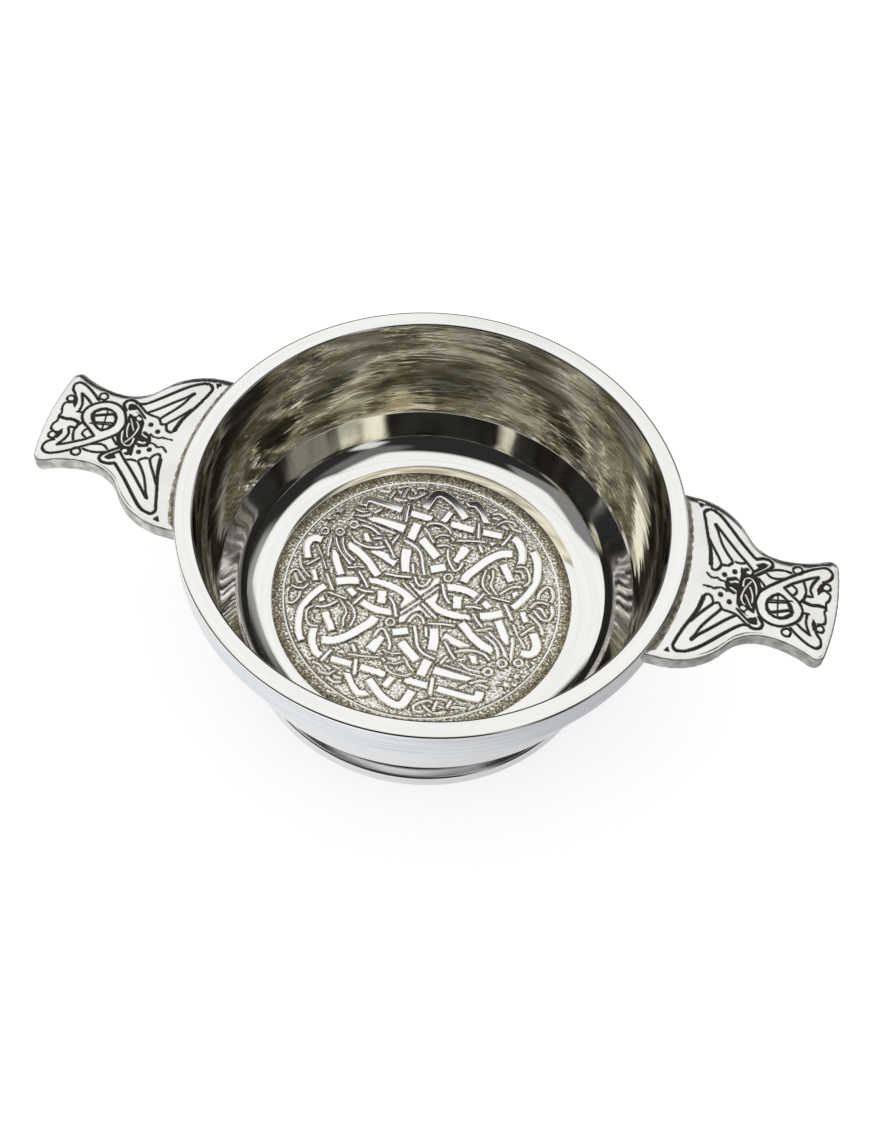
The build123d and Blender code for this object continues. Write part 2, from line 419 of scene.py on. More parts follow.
class Bench:
    """A material while its nodes are set out."""

    def __init__(self, owner: bpy.types.Material | bpy.types.World, shader: str = "Principled BSDF") -> None:
        """Starts with the owner's own main shader."""
        owner.use_nodes = True
        self.owner = owner
        self.tree = owner.node_tree
        self.shader = self.tree.nodes[shader]
        self.places = self.node("ShaderNodeTexCoord").outputs
        self.place = self.places["Object"]

    @classmethod
    def for_material(cls, name: str) -> "Bench":
        """A bench with a new material on it."""
        return cls(bpy.data.materials.new(name))

    def node(self, kind: str, inputs: dict | None = None, **settings: object) -> bpy.types.Node:
        """Adds a node.

        Args:
            kind: The node's type.
            inputs: Values or sockets for its inputs, by name or number.
            settings: Values for the node's own options.

        Returns:
            The node.
        """
        made = self.tree.nodes.new(kind)
        for option, value in settings.items():
            setattr(made, option, value)
        for key, value in (inputs or {}).items():
            self.feed(made.inputs[key], value)
        return made

    def feed(self, socket: bpy.types.NodeSocket, value: object) -> None:
        """Links a socket to another, or gives it a plain value."""
        if isinstance(value, bpy.types.NodeSocket):
            self.tree.links.new(value, socket)
        else:
            socket.default_value = value

    def maths(self, operation: str, a: object, b: object = 0.0, c: object = 0.0, clamp: bool = False) -> bpy.types.NodeSocket:
        """The result of a sum on one, two or three values."""
        made = self.node("ShaderNodeMath", operation=operation, use_clamp=clamp)
        for socket, value in zip(made.inputs, (a, b, c)):
            self.feed(socket, value)
        return made.outputs[0]

    def span(self, value: object, low: float, high: float, to_low: float = 0.0, to_high: float = 1.0) -> bpy.types.NodeSocket:
        """The value carried from one range to another, smoothly, and held at both ends."""
        inputs = {"Value": value, "From Min": low, "From Max": high, "To Min": to_low, "To Max": to_high}
        return self.node("ShaderNodeMapRange", inputs, interpolation_type="SMOOTHSTEP").outputs["Result"]

    def blend(self, share: object, a: object, b: object) -> bpy.types.NodeSocket:
        """The mix of two colours."""
        made = self.node("ShaderNodeMix", data_type="RGBA")
        for number, value in ((0, share), (6, a), (7, b)):
            self.feed(made.inputs[number], value)
        return made.outputs[2]

    def noise(self, vector: object, scale: float, detail: float = 2.0, rough: float = 0.5, w: object = None) -> bpy.types.NodeSocket:
        """Noise from 0 to 1 over a place, with a fourth coordinate where one is given."""
        inputs = {"Vector": vector, "Scale": scale, "Detail": detail, "Roughness": rough}
        if w is None:
            return self.node("ShaderNodeTexNoise", inputs).outputs["Fac"]
        return self.node("ShaderNodeTexNoise", {**inputs, "W": w}, noise_dimensions="4D").outputs["Fac"]

    def stretched(self, x: float, y: float, z: float, turn: float = 0.0) -> bpy.types.NodeSocket:
        """The place on the piece, turned about Z and with each axis scaled on its own."""
        inputs = {"Vector": self.place, "Rotation": (0.0, 0.0, turn), "Scale": (x, y, z)}
        return self.node("ShaderNodeMapping", inputs).outputs["Vector"]

    def round_axis(self) -> tuple[bpy.types.NodeSocket, bpy.types.NodeSocket, bpy.types.NodeSocket, bpy.types.NodeSocket]:
        """Radius and height in metres, and the cosine and sine of the angle round the axis."""
        parts = self.node("ShaderNodeSeparateXYZ", {0: self.place}).outputs
        square = self.maths("MULTIPLY_ADD", parts["X"], parts["X"], self.maths("MULTIPLY", parts["Y"], parts["Y"]))
        radius = self.maths("SQRT", self.maths("ADD", square, 1e-10))
        cosine = self.maths("DIVIDE", parts["X"], radius)
        return radius, parts["Z"], cosine, self.maths("DIVIDE", parts["Y"], radius)

    def turning_marks(self, pitch: float, length: float) -> bpy.types.NodeSocket:
        """Fine marks that run round the axis, as a lathe or a polishing wheel leaves them.

        It is noise over radius, height and the direction from the axis, so it has no seam. Radius
        and height change fast and the direction slowly.

        Args:
            pitch: The usual distance between two marks, in millimetres.
            length: How far one mark runs round, as a share of a radian.

        Returns:
            Noise from 0 to 1.
        """
        radius, height, cosine, sine = self.round_axis()
        fast = 1.0 / (pitch * MM)
        vector = self.node(
            "ShaderNodeCombineXYZ",
            {
                "X": self.maths("MULTIPLY", radius, fast),
                "Y": self.maths("MULTIPLY", height, fast),
                "Z": self.maths("MULTIPLY", cosine, 1.0 / length),
            },
        ).outputs[0]
        return self.noise(vector, 1.0, 2.0, 0.6, self.maths("MULTIPLY", sine, 1.0 / length))

    def bump(self, height: object, depth: float, normal: object = None) -> bpy.types.NodeSocket:
        """A bump of the given depth in millimetres, on top of another where one is given."""
        inputs = {"Height": height, "Strength": 1.0, "Distance": depth * MM}
        if normal is not None:
            inputs["Normal"] = normal
        return self.node("ShaderNodeBump", inputs).outputs["Normal"]

    def finish(self, **inputs: object) -> bpy.types.Material:
        """Feeds the shader's inputs, named with _ for a space, and returns the material."""
        for name, value in inputs.items():
            self.feed(self.shader.inputs[name.replace("_", " ")], value)
        return self.owner


@dataclass(frozen=True)
class SpunMetal:
    """Pewter turned on a lathe: polished, with a satin band, and on the upper inside wall a warm tint and dark streaks
    that are painted reflection.
    """

    name: str
    colour: tuple[float, float, float, float] = (0.90, 0.895, 0.87, 1.0)
    shade: tuple[float, float, float, float] = (0.84, 0.835, 0.81, 1.0)
    satin: tuple[float, float, float, float] = (0.82, 0.84, 0.87, 1.0)
    line: tuple[float, float, float, float] = (0.60, 0.62, 0.66, 1.0)
    # The next two colours are painted reflection on the upper inside wall: a warm tint, and the dark of its streaks.
    warm: tuple[float, float, float, float] = (0.93, 0.89, 0.72, 1.0)
    painted_reflection: tuple[float, float, float, float] = (0.46, 0.41, 0.29, 1.0)
    roughness: float = 0.03
    dull: float = 0.08
    mark_depth: float = 0.0007
    streak_depth: float = 0.06

    def material(self) -> bpy.types.Material:
        """Builds the material. Attributes: satin for the band, and warm for the upper inside, where reflection is
        painted.
        """
        bench = Bench.for_material(self.name)
        satin = bench.node("ShaderNodeAttribute", attribute_name="satin").outputs["Fac"]
        warm = bench.node("ShaderNodeAttribute", attribute_name="warm").outputs["Fac"]
        fine = bench.turning_marks(0.16, 0.35)
        broad = bench.turning_marks(1.1, 0.8)
        wiped = bench.noise(bench.stretched(1.0, 2.4, 1.0, 0.6), 60.0, 3.0, 0.55)
        wide = bench.turning_marks(3.4, 0.30)
        thin = bench.turning_marks(1.0, 0.22)
        dull = bench.maths("MULTIPLY_ADD", satin, 0.16, bench.span(wiped, 0.35, 0.75, self.roughness, self.dull))
        colour = bench.blend(bench.span(broad, 0.3, 0.75), self.colour, self.shade)
        brushed = bench.blend(bench.span(fine, 0.4, 0.66), self.satin, self.line)
        colour = bench.blend(satin, colour, brushed)
        # Painted reflection: the upper inside wall takes the warm tint, broken by dark streaks along the wide and thin
        # turning marks.
        painted_reflection = bench.blend(bench.span(bench.maths("MULTIPLY_ADD", thin, 0.5, wide), 0.66, 0.86), self.warm, self.painted_reflection)
        colour = bench.blend(warm, colour, painted_reflection)
        deep = bench.maths("MULTIPLY_ADD", satin, 6.0, 1.0)
        marks = bench.maths("MULTIPLY", deep, bench.maths("MULTIPLY_ADD", broad, 0.8, fine))
        normal = bench.bump(marks, self.mark_depth)
        waves = bench.maths("MULTIPLY", warm, bench.maths("MULTIPLY_ADD", thin, 0.35, wide))
        normal = bench.bump(waves, self.streak_depth, normal)
        return bench.finish(Base_Color=colour, Metallic=1.0, Roughness=dull, Normal=normal)


@dataclass(frozen=True)
class StruckMetal:
    """Pewter with a dark fill in everything that lies deep, as the disc has it."""

    name: str = "struck_pewter"
    bright: tuple[float, float, float, float] = (0.95, 0.945, 0.92, 1.0)
    middle: tuple[float, float, float, float] = (0.40, 0.35, 0.235, 1.0)
    deep: tuple[float, float, float, float] = (0.05, 0.038, 0.022, 1.0)

    def material(self) -> bpy.types.Material:
        """Builds the material. The attribute dark leads from polished metal to black fill."""
        bench = Bench.for_material(self.name)
        dark = bench.node("ShaderNodeAttribute", attribute_name="dark").outputs["Fac"]
        grain = bench.noise(bench.place, 1900.0, 2.0, 0.65)
        cloud = bench.noise(bench.place, 420.0, 3.0, 0.6)
        speck = bench.maths("MULTIPLY", bench.span(grain, 0.3, 0.7, -0.3, 0.3), bench.span(dark, 0.15, 0.35))
        patch = bench.span(cloud, 0.3, 0.7, -0.12, 0.12)
        level = bench.maths("ADD", dark, bench.maths("ADD", speck, bench.maths("MULTIPLY", patch, dark)), clamp=True)
        ramp = bench.node("ShaderNodeValToRGB", {"Fac": level})
        stops = ((0.0, self.bright), (0.16, self.bright), (0.46, self.middle), (0.95, self.deep))
        for position, _ in stops[2:]:
            ramp.color_ramp.elements.new(position)
        for element, (position, colour) in zip(ramp.color_ramp.elements, stops):
            element.position, element.color = position, colour
        rough = bench.span(level, 0.1, 0.5, 0.1, 0.5)
        normal = bench.bump(grain, 0.05)
        bench.feed(normal.node.inputs["Strength"], bench.span(dark, 0.15, 0.35))
        return bench.finish(
            Base_Color=ramp.outputs["Color"], Metallic=bench.span(level, 0.6, 1.0, 1.0, 0.35), Roughness=rough, Normal=normal
        )


@dataclass(frozen=True)
class CastMetal:
    """Cast pewter of a lug: polished on top, matt on its edge, with dark enamel-like cuts."""

    name: str = "cast_pewter"
    bright: tuple[float, float, float, float] = (0.86, 0.86, 0.845, 1.0)
    warm: tuple[float, float, float, float] = (0.80, 0.785, 0.74, 1.0)
    side: tuple[float, float, float, float] = (0.74, 0.735, 0.71, 1.0)
    fill: tuple[float, float, float, float] = (0.014, 0.010, 0.006, 1.0)

    def material(self) -> bpy.types.Material:
        """Builds the material. Attributes: dark for the cuts and skin for the cast edge."""
        bench = Bench.for_material(self.name)
        dark = bench.node("ShaderNodeAttribute", attribute_name="dark").outputs["Fac"]
        skin = bench.node("ShaderNodeAttribute", attribute_name="skin").outputs["Fac"]
        cloud = bench.noise(bench.place, 120.0, 3.0, 0.6)
        grain = bench.noise(bench.place, 1500.0, 3.0, 0.65)
        pits = bench.noise(bench.place, 420.0, 2.0, 0.5)
        hair = bench.noise(bench.stretched(1.0, 16.0, 1.0, 0.35), 240.0, 2.0)
        top = bench.blend(bench.span(cloud, 0.35, 0.7), self.bright, self.warm)
        side = bench.blend(bench.span(pits, 0.3, 0.7), self.side, (0.42, 0.415, 0.39, 1.0))
        colour = bench.blend(bench.span(skin, 0.35, 0.75), top, side)
        cut = bench.span(bench.maths("MULTIPLY_ADD", grain, 0.16, dark), 0.40, 0.66)
        colour = bench.blend(cut, colour, self.fill)
        rough = bench.maths("MULTIPLY_ADD", skin, 0.32, bench.span(hair, 0.3, 0.7, 0.12, 0.2))
        rough = bench.maths("MULTIPLY_ADD", cut, 0.3, rough, clamp=True)
        height = bench.maths("MULTIPLY_ADD", bench.maths("MULTIPLY", skin, pits), 18.0, hair)
        height = bench.maths("MULTIPLY_ADD", bench.maths("MULTIPLY", cut, grain), 10.0, height)
        normal = bench.bump(height, 0.003)
        return bench.finish(Base_Color=colour, Metallic=bench.span(cut, 0.0, 1.0, 1.0, 0.2), Roughness=rough, Normal=normal)


@dataclass(frozen=True)
class SolderMetal:
    """Rough solder, a little warmer than the pewter round it."""

    name: str = "lug_solder"

    def material(self) -> bpy.types.Material:
        """Builds the material: blotches of cream and grey, pitted."""
        bench = Bench.for_material(self.name)
        blotch = bench.noise(bench.place, 700.0, 4.0, 0.6)
        pits = bench.noise(bench.place, 2200.0, 2.0, 0.6)
        colour = bench.blend(bench.span(blotch, 0.35, 0.65), (0.30, 0.27, 0.20, 1.0), (0.74, 0.70, 0.58, 1.0))
        normal = bench.bump(bench.maths("MULTIPLY_ADD", blotch, 2.0, pits), 0.06)
        return bench.finish(Base_Color=colour, Metallic=1.0, Roughness=bench.span(pits, 0.3, 0.7, 0.3, 0.55), Normal=normal)


# Bowl


@dataclass
class Bowl:
    """The spun bowl with its upright band, sizes in millimetres and degrees."""

    rim_height: float = 49.4
    rim_width: float = 4.0
    band_height: float = 7.4
    rim_edge: float = 0.6
    band_foot_edge: float = 0.35
    mouth_radius: float = 50.7
    floor_height: float = 13.0
    wall: float = 1.0
    seat_depth: float = 0.6
    seat_radius: float = 34.78
    disc_offset: float = 0.9
    arcs: tuple[tuple[float, float], ...] = ((67.0, 13.5), (60.0, 6.5), (1.0, 12.0), (150.0, 2.2), (9.3, 55.8))
    segments: int = 320

    @property
    def band_radius(self) -> float:
        """The band's outer radius."""
        return self.mouth_radius + self.rim_width

    def shoulder_height(self) -> float:
        """Where the upright part of the wall ends, from the arcs below it."""
        ends = np.sin(np.radians(np.cumsum([0.0] + [turn for _, turn in self.arcs])))
        return self.floor_height + float(np.diff(ends) @ [radius for radius, _ in self.arcs])

    def crease_height(self) -> float:
        """The height of the crease, the sharpest of the arcs, on the inside."""
        sharpest = min(range(len(self.arcs)), key=lambda k: self.arcs[k][0])
        above = np.sin(np.radians(np.cumsum([0.0] + [turn for _, turn in self.arcs[: sharpest + 1]])))
        return self.shoulder_height() - float(np.diff(above) @ [radius for radius, _ in self.arcs[: sharpest + 1]])

    def wall_line(self, radius: float, offset: float, top: float) -> np.ndarray:
        """One face of the wall, from a height down and in to where it lies flat.

        Args:
            radius: Where the upright part stands.
            offset: Added to the radius of every arc.
            top: The height that it starts from.

        Returns:
            Radius and height of each point.
        """
        pen = ProfilePen(radius, top, -90.0).straight(top - self.shoulder_height(), 6)
        for bend_radius, turn in self.arcs:
            pen.bend(bend_radius + offset, -turn, 4 + round(turn / 2.5))
        return pen.points()

    def profile(self) -> np.ndarray:
        """The section, from the disc's seat up the inside, over the rim and down the outside."""
        top, band = self.rim_height, self.band_radius
        inner = self.wall_line(self.mouth_radius, 0.0, top - 2.0)
        outer = self.wall_line(self.mouth_radius + self.wall, self.wall, top - 2.0)
        slope = self.rim_height - self.band_height - (band - outer[:, 0])
        outer = outer[outer[:, 1] < slope - 0.3]
        foot = (outer[0, 0] + 0.02, outer[0, 1] + 0.25)
        rim = fillet_path(
            [(self.mouth_radius, top - 2.0), (self.mouth_radius, top), (band, top), (band, top - self.band_height), foot],
            [0.0, self.rim_edge, self.rim_edge, self.band_foot_edge, 0.0],
        )
        seat = self.floor_height - self.seat_depth
        floor = fillet_path(
            [(0.0, seat), (self.seat_radius, seat), (self.seat_radius, self.floor_height), tuple(inner[-1])],
            [0.0, 0.0, 0.12, 0.0],
            4,
        )
        under = np.array([[20.0, outer[-1, 1]], [0.0, outer[-1, 1]]])
        return np.concatenate([floor[:-1], inner[::-1][:-1], rim, outer, under])

    def build(self) -> bpy.types.Object:
        """Builds the bowl in place of its node."""
        profile = self.profile()
        in_seat = (profile[:, 0] < self.seat_radius + 0.5) & (profile[:, 1] > self.floor_height - self.seat_depth - 0.01)
        piece = turned("bowl_spun", profile, self.segments, np.where(in_seat, -self.disc_offset, 0.0))
        radius, height = profile.T
        outside = radius > self.mouth_radius + self.wall + 0.05
        band = outside & (height < self.rim_height - self.rim_edge)
        under = np.arange(len(profile)) > np.argmax(height + radius)
        satin = np.where(band, 1.0, np.where(under & ~outside, 0.6, 0.0))
        # Painted reflection: the upper inside wall above the crease is marked for the metal's warm tint and dark
        # streaks.
        warm = np.where(under, 0.0, np.clip((height - self.crease_height()) / 0.8, 0, 1))
        warm = np.where(height > self.rim_height - self.rim_edge, 0.0, warm)
        mark_rings(piece, profile, self.segments, satin=satin, warm=warm)
        piece.data.materials.append(SpunMetal("polished_pewter").material())
        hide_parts("bowl")
        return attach(piece, "root")


@dataclass
class FootRing:
    """The foot: a neck that flares out to an upright lip, sizes in millimetres."""

    top: float = 12.0
    neck_radius: float = 35.825
    thickness: float = 1.8
    flare: tuple[float, float] = (6.2, 74.0)
    flare_top: float = 9.85
    lip_radius: float = 42.025
    lip_height: float = 3.4
    lip_edge: float = 0.8
    bottom_edge: float = 0.4
    segments: int = 288

    def profile(self) -> np.ndarray:
        """The closed section: down the outside, under the lip and up the hollow."""
        pen = ProfilePen(self.neck_radius, self.top, -90.0).straight(self.top - self.flare_top, 3)
        outside = pen.bend(self.flare[0], self.flare[1], 22).points()
        pen = ProfilePen(self.neck_radius - self.thickness, self.top, -90.0).straight(self.top - self.flare_top, 3)
        inside = pen.bend(self.flare[0] + self.thickness, self.flare[1], 22).points()
        inside = inside[inside[:, 1] > 0.15]
        lip = fillet_path(
            [tuple(outside[-1]), (self.lip_radius, self.lip_height), (self.lip_radius, 0.0), (inside[-1, 0], 0.0), tuple(inside[-1])],
            [0.0, self.lip_edge, self.bottom_edge, 0.15, 0.0],
        )
        return np.concatenate([outside, lip[1:-1], inside[::-1]])

    def build(self) -> bpy.types.Object:
        """Builds the foot in place of its node."""
        profile = self.profile()
        piece = turned("foot_spun", profile, self.segments)
        mark_rings(piece, profile, self.segments, satin=np.full(len(profile), 0.35), warm=np.zeros(len(profile)))
        piece.data.materials.append(SpunMetal("foot_pewter", dull=0.14).material())
        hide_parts("foot_ring")
        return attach(piece, "root")


# Disc


def ribbon(width: float, *points: tuple[float, float], to: float | None = None) -> Stroke:
    """A broad flat ribbon."""
    return Stroke(Cut.RIBBON, width, points, to)


def strand(width: float, *points: tuple[float, float]) -> Stroke:
    """A thin rounded cord."""
    return Stroke(Cut.STRAND, width, points)


def patch(*points: tuple[float, float]) -> Stroke:
    """A polished area with corners."""
    return Stroke(Cut.PATCH, 0.0, points)


def star(x: float, y: float, size: float, tilt: float) -> Stroke:
    """A five-pointed star: corners in turn at the full size and at 0.42 of it."""
    angle = np.arange(10) * math.pi / 5 + tilt
    reach = size * np.where(np.arange(10) % 2 == 0, 1.0, 0.42)
    return patch(*zip((x + reach * np.cos(angle)).tolist(), (y + reach * np.sin(angle)).tolist()))


def hoop(width: float, x: float, y: float, radius: float) -> Stroke:
    """A small ring of cord."""
    angle = np.linspace(0, 2 * math.pi, 9)
    return strand(width, *zip((x + radius * np.cos(angle)).tolist(), (y + radius * np.sin(angle)).tolist()))


# One half of the disc's interlace, under strokes first. The other half is it turned half round.
INTERLACE = (
    # Ribbons of the middle
    patch(
        (0.1, 0.0), (1.5, 1.75), (2.6, 3.2), (3.15, 4.05), (3.6, 3.4), (4.0, 2.3), (3.7, 1.3), (3.7, 0.6), (4.5, 0.0),
        (6.0, -0.45), (8.0, -0.8), (10.0, -0.8), (12.0, -0.65), (12.9, -1.4), (12.6, -2.2), (9.0, -2.7), (6.0, -2.5),
        (4.6, -2.15), (3.0, -1.5), (1.5, -0.6),
    ),
    patch(
        (0.0, 0.1), (-1.0, 1.2), (-2.5, 2.1), (-4.3, 3.3), (-3.5, 3.9), (-2.8, 4.1), (-2.2, 3.7), (-1.7, 3.0),
        (-0.9, 2.7), (-0.1, 3.1), (0.4, 4.0), (0.9, 5.3), (1.2, 6.4), (2.7, 7.4), (3.1, 6.6), (3.1, 5.5), (2.9, 4.6),
        (2.2, 3.6), (1.2, 2.1),
    ),
    ribbon(2, (4.7, 5.0), (6.5, 5.3), (8.5, 5.45), (10.6, 5.1), (12.5, 4.4)),
    ribbon(2.2, (8.1, 3.4), (8.3, 1.8), (8.75, 0.2)),
    ribbon(2.2, (14.2, -0.6), (16.5, 0.2), (19.3, 1.6)),
    patch((14.4, 4.3), (16.7, 2.7), (15.3, 1.4), (13.6, 2.7)),
    # Ribbons of the upper left
    ribbon(2.2, (-19.6, 8.9), (-16.8, 7.9), (-14.0, 6.2), (-12.0, 4.4), (-10.6, 3.3)),
    ribbon(1.3, (-14.2, 9.2), (-11.0, 8.7), (-7.6, 7.8), to=2.6),
    ribbon(2.3, (-6.3, 12.3), (-6.0, 9.5), (-5.0, 6.1)),
    ribbon(2.2, (-5.7, 19.5), (-6.25, 14.4)),
    ribbon(1.6, (-17.2, 17.1), (-15.0, 17.3), (-12.0, 17.25), (-8.1, 17.0), to=2.5),
    patch((-17.3, 12.8), (-15.8, 13.4), (-15.0, 12.2), (-14.1, 11.1), (-16.4, 10.9), (-16.8, 12.0)),
    ribbon(2, (-10.1, 21.6), (-14.5, 21.9), (-18.0, 22.0), (-19.15, 21.5), (-19.25, 19.7)),
    ribbon(2, (-8.0, 21.5), (-2.6, 21.35)),
    ribbon(2.1, (-5.1, 23.6), (-4.6, 25.6), (-3.9, 27.7), (-2.4, 28.35), (0.0, 27.6), (2.0, 26.3), (4.9, 23.6)),
    ribbon(1.7, (-0.7, 20.1), (0.3, 22.5), (1.0, 24.6)),
    ribbon(2.4, (-3.9, 15.7), (-2.0, 14.3), (1.0, 11.9)),
    ribbon(2.2, (0.1, 8.5), (3.5, 10.2)),
    ribbon(2, (-27.0, 2.0), (-28.4, 4.8), (-28.3, 6.7), (-27.2, 7.8), (-25.6, 7.75)),
    ribbon(2.1, (-22.0, 6.5), (-20.8, 4.0), (-18.5, 0.5)),
    # Ribbons of the upper right
    ribbon(2.7, (6.75, 16.4), (5.35, 11.8), to=1.8),
    ribbon(2, (1.6, 21.4), (7.5, 21.2)),
    ribbon(2, (9.4, 21.2), (14.3, 21.3)),
    ribbon(2, (16.4, 21.5), (17.9, 20.7), (19.3, 18.9), (20.0, 16.6), (20.0, 14.3)),
    patch((3.2, 27.6), (4.8, 28.6), (6.4, 28.9), (7.6, 28.0), (10.9, 23.7), (8.9, 23.4), (7.5, 25.6), (6.0, 26.9), (4.7, 26.7)),
    ribbon(2.3, (17.7, 17.4), (15.0, 16.5), (12.4, 14.3), (10.4, 11.6), (8.8, 9.2), (8.3, 7.3)),
    ribbon(1.9, (16.0, 14.2), (19.2, 9.9)),
    ribbon(1.9, (21.8, 19.1), (23.3, 17.0), (24.2, 13.8), (24.4, 11.0), (23.6, 8.0), (22.2, 5.1), (21.0, 3.3)),
    patch((19.8, 7.2), (21.0, 8.2), (21.6, 7.2), (20.6, 5.6)),
    patch((11.3, 19.3), (13.7, 19.3), (12.4, 17.9)),
    ribbon(1.5, (23.4, 3.0), (25.0, 0.2)),
    # Cords of the upper left
    strand(0.9, (-15.2, 24.6), (-13.9, 24.1), (-11.5, 24.0), (-9.6, 24.6), (-8.2, 25.8)),
    strand(0.9, (-17.0, 24.9), (-15.0, 25.2), (-13.2, 26.0), (-11.2, 25.9), (-9.2, 25.2), (-7.4, 26.2), (-6.3, 27.6), (-6.8, 28.6), (-8.1, 28.4), (-9.4, 27.3)),
    strand(0.9, (-13.0, 27.0), (-11.3, 27.9), (-9.6, 27.6), (-8.4, 26.8)),
    strand(0.9, (-13.3, 25.7), (-13.8, 23.9)),
    strand(0.9, (-10.6, 27.1), (-10.9, 25.0)),
    strand(1.1, (-9.0, 23.4), (-8.8, 21.3), (-8.5, 19.2)),
    strand(1.0, (-20.4, 18.4), (-18.8, 18.2), (-16.6, 18.6), (-14.9, 20.1)),
    strand(0.9, (-20.0, 16.7), (-18.3, 17.2), (-16.8, 18.2)),
    strand(0.8, (-19.6, 15.9), (-17.0, 15.9), (-13.0, 15.4), (-8.6, 15.1)),
    strand(1.0, (-18.2, 14.8), (-15.6, 14.8), (-13.4, 13.8), (-12.2, 13.4)),
    hoop(0.9, -19.7, 14.3, 0.9),
    strand(1.0, (-19.2, 11.1), (-18.0, 10.2), (-15.6, 9.7), (-13.0, 10.2), (-11.0, 11.4)),
    strand(0.9, (-14.2, 12.3), (-12.8, 12.9), (-10.7, 13.6), (-9.4, 14.4)),
    strand(0.9, (-9.1, 14.9), (-9.9, 12.7)),
    strand(1.0, (-11.7, 12.8), (-10.3, 11.4), (-9.2, 10.0), (-8.5, 9.2)),
    strand(1.1, (-7.3, 14.1), (-5.0, 13.5), (-3.3, 12.3), (-2.4, 10.8), (-1.8, 9.2), (-0.8, 7.0)),
    strand(1.0, (-9.2, 4.4), (-7.0, 4.6), (-5.0, 5.0), (-3.0, 5.5)),
    strand(1.0, (-2.6, 5.6), (-1.8, 4.3), (-0.6, 3.8), (0.3, 4.6), (0.8, 6.2)),
    strand(1.0, (-4.0, 8.7), (-3.3, 6.6)),
    strand(0.9, (-17.7, 3.0), (-16.2, 3.6), (-14.4, 4.4)),
    strand(1.0, (-15.4, 3.0), (-14.0, 1.8), (-12.7, 0.3)),
    strand(1.0, (-23.9, 10.6), (-23.6, 8.4), (-23.4, 6.2), (-22.9, 4.4)),
    strand(1.1, (-22.9, 10.2), (-22.0, 8.4), (-20.6, 6.7), (-17.6, 4.2)),
    strand(1.0, (-21.2, 10.9), (-20.7, 8.9), (-19.4, 6.9), (-17.0, 5.4)),
    strand(0.9, (-28.6, 11.5), (-29.2, 10.4), (-28.4, 9.6)),
    hoop(0.8, -25.6, 10.4, 0.85),
    hoop(0.8, -22.2, 11.4, 0.95),
    strand(0.9, (-26.0, 6.2), (-24.2, 3.8), (-22.3, 1.0)),
    strand(0.9, (-24.6, 3.1), (-25.6, 1.8), (-26.7, 0.5)),
    star(-24.2, 16.7, 1.35, 0.35),
    star(-25.9, 14.0, 1.25, 0.1),
    # Cords of the upper right
    strand(0.9, (10.6, 26.4), (12.0, 26.9), (13.8, 26.0), (14.8, 24.8), (16.2, 23.7), (17.8, 23.4)),
    strand(0.9, (10.9, 25.4), (12.2, 25.4), (13.1, 24.2), (14.8, 23.4)),
    strand(0.8, (12.4, 24.0), (13.6, 25.2), (15.4, 25.4), (16.4, 24.6)),
    strand(1.1, (8.1, 23.3), (8.5, 21.4), (8.9, 19.6), (9.6, 17.8), (10.6, 16.2)),
    strand(1.1, (16.0, 22.4), (15.5, 20.9), (14.8, 19.2)),
    strand(0.9, (3.2, 17.2), (5.4, 17.8), (8.0, 18.4), (10.6, 18.8)),
    strand(0.9, (-3.8, 18.6), (-3.2, 19.9), (-1.6, 20.6), (0.4, 20.5), (1.9, 19.7), (2.5, 18.4), (3.4, 17.4)),
    strand(0.9, (-3.8, 18.5), (-2.6, 17.6), (-1.7, 16.4), (-0.9, 15.7)),
    strand(0.8, (-0.8, 17.0), (0.4, 18.0), (2.0, 18.2)),
    strand(0.9, (0.3, 15.0), (1.9, 15.6), (3.9, 15.2)),
    strand(1.0, (2.8, 14.6), (3.2, 12.9), (4.4, 11.0), (5.6, 9.8), (6.5, 10.5), (6.9, 12.2)),
    hoop(0.8, 4.7, 7.6, 0.95),
    strand(1.1, (3.9, 5.6), (4.7, 3.8), (5.5, 2.4), (6.6, 1.3)),
    strand(0.9, (12.7, 11.6), (12.5, 9.2), (13.1, 7.4), (14.4, 6.1), (15.7, 5.5)),
    strand(0.9, (14.2, 12.0), (14.7, 10.3), (14.6, 8.4), (15.6, 6.9), (17.4, 5.4)),
    strand(1.0, (17.4, 6.4), (18.7, 7.9), (20.3, 9.0), (22.2, 9.3)),
    strand(0.8, (19.5, 14.2), (21.2, 14.4), (22.5, 13.0), (23.0, 11.0), (22.2, 9.6)),
    strand(0.7, (19.2, 13.0), (20.8, 12.9), (21.6, 11.6)),
    strand(1.1, (19.1, 3.9), (20.4, 2.1), (21.6, 0.4)),
    strand(0.9, (15.8, 5.0), (18.0, 4.9), (19.8, 4.8)),
    strand(1.1, (13.6, 5.4), (12.95, 3.9), (12.35, 2.7)),
    strand(1.0, (10.6, 1.2), (12.4, 1.6), (14.0, 1.5)),
    strand(1.1, (12.2, 0.3), (13.2, -1.0), (14.9, -2.8)),
    # Knot at the right edge
    strand(0.9, (26.1, 6.4), (25.9, 8.4), (26.8, 10.3), (28.0, 10.4), (28.9, 8.8), (28.9, 7.2), (28.0, 5.8), (26.6, 4.9)),
    strand(0.9, (24.9, 4.4), (25.6, 5.7), (27.0, 6.2), (28.4, 6.0)),
    strand(0.9, (25.7, 3.3), (26.9, 4.7), (27.9, 3.8), (28.9, 2.5)),
    strand(0.9, (29.3, 5.7), (29.9, 4.0), (29.5, 2.1), (28.3, 1.7), (27.0, 2.7), (25.9, 3.7)),
    strand(0.9, (25.2, 2.4), (26.4, 1.6), (27.6, 0.6), (28.6, -0.8), (29.0, -2.0)),
    # The cross in the very middle
    strand(1.0, (-4.7, 3.3), (-2.4, 1.7), (0.0, 0.0)),
    strand(1.0, (3.1, 4.5), (1.5, 2.2), (0.0, 0.0)),
)


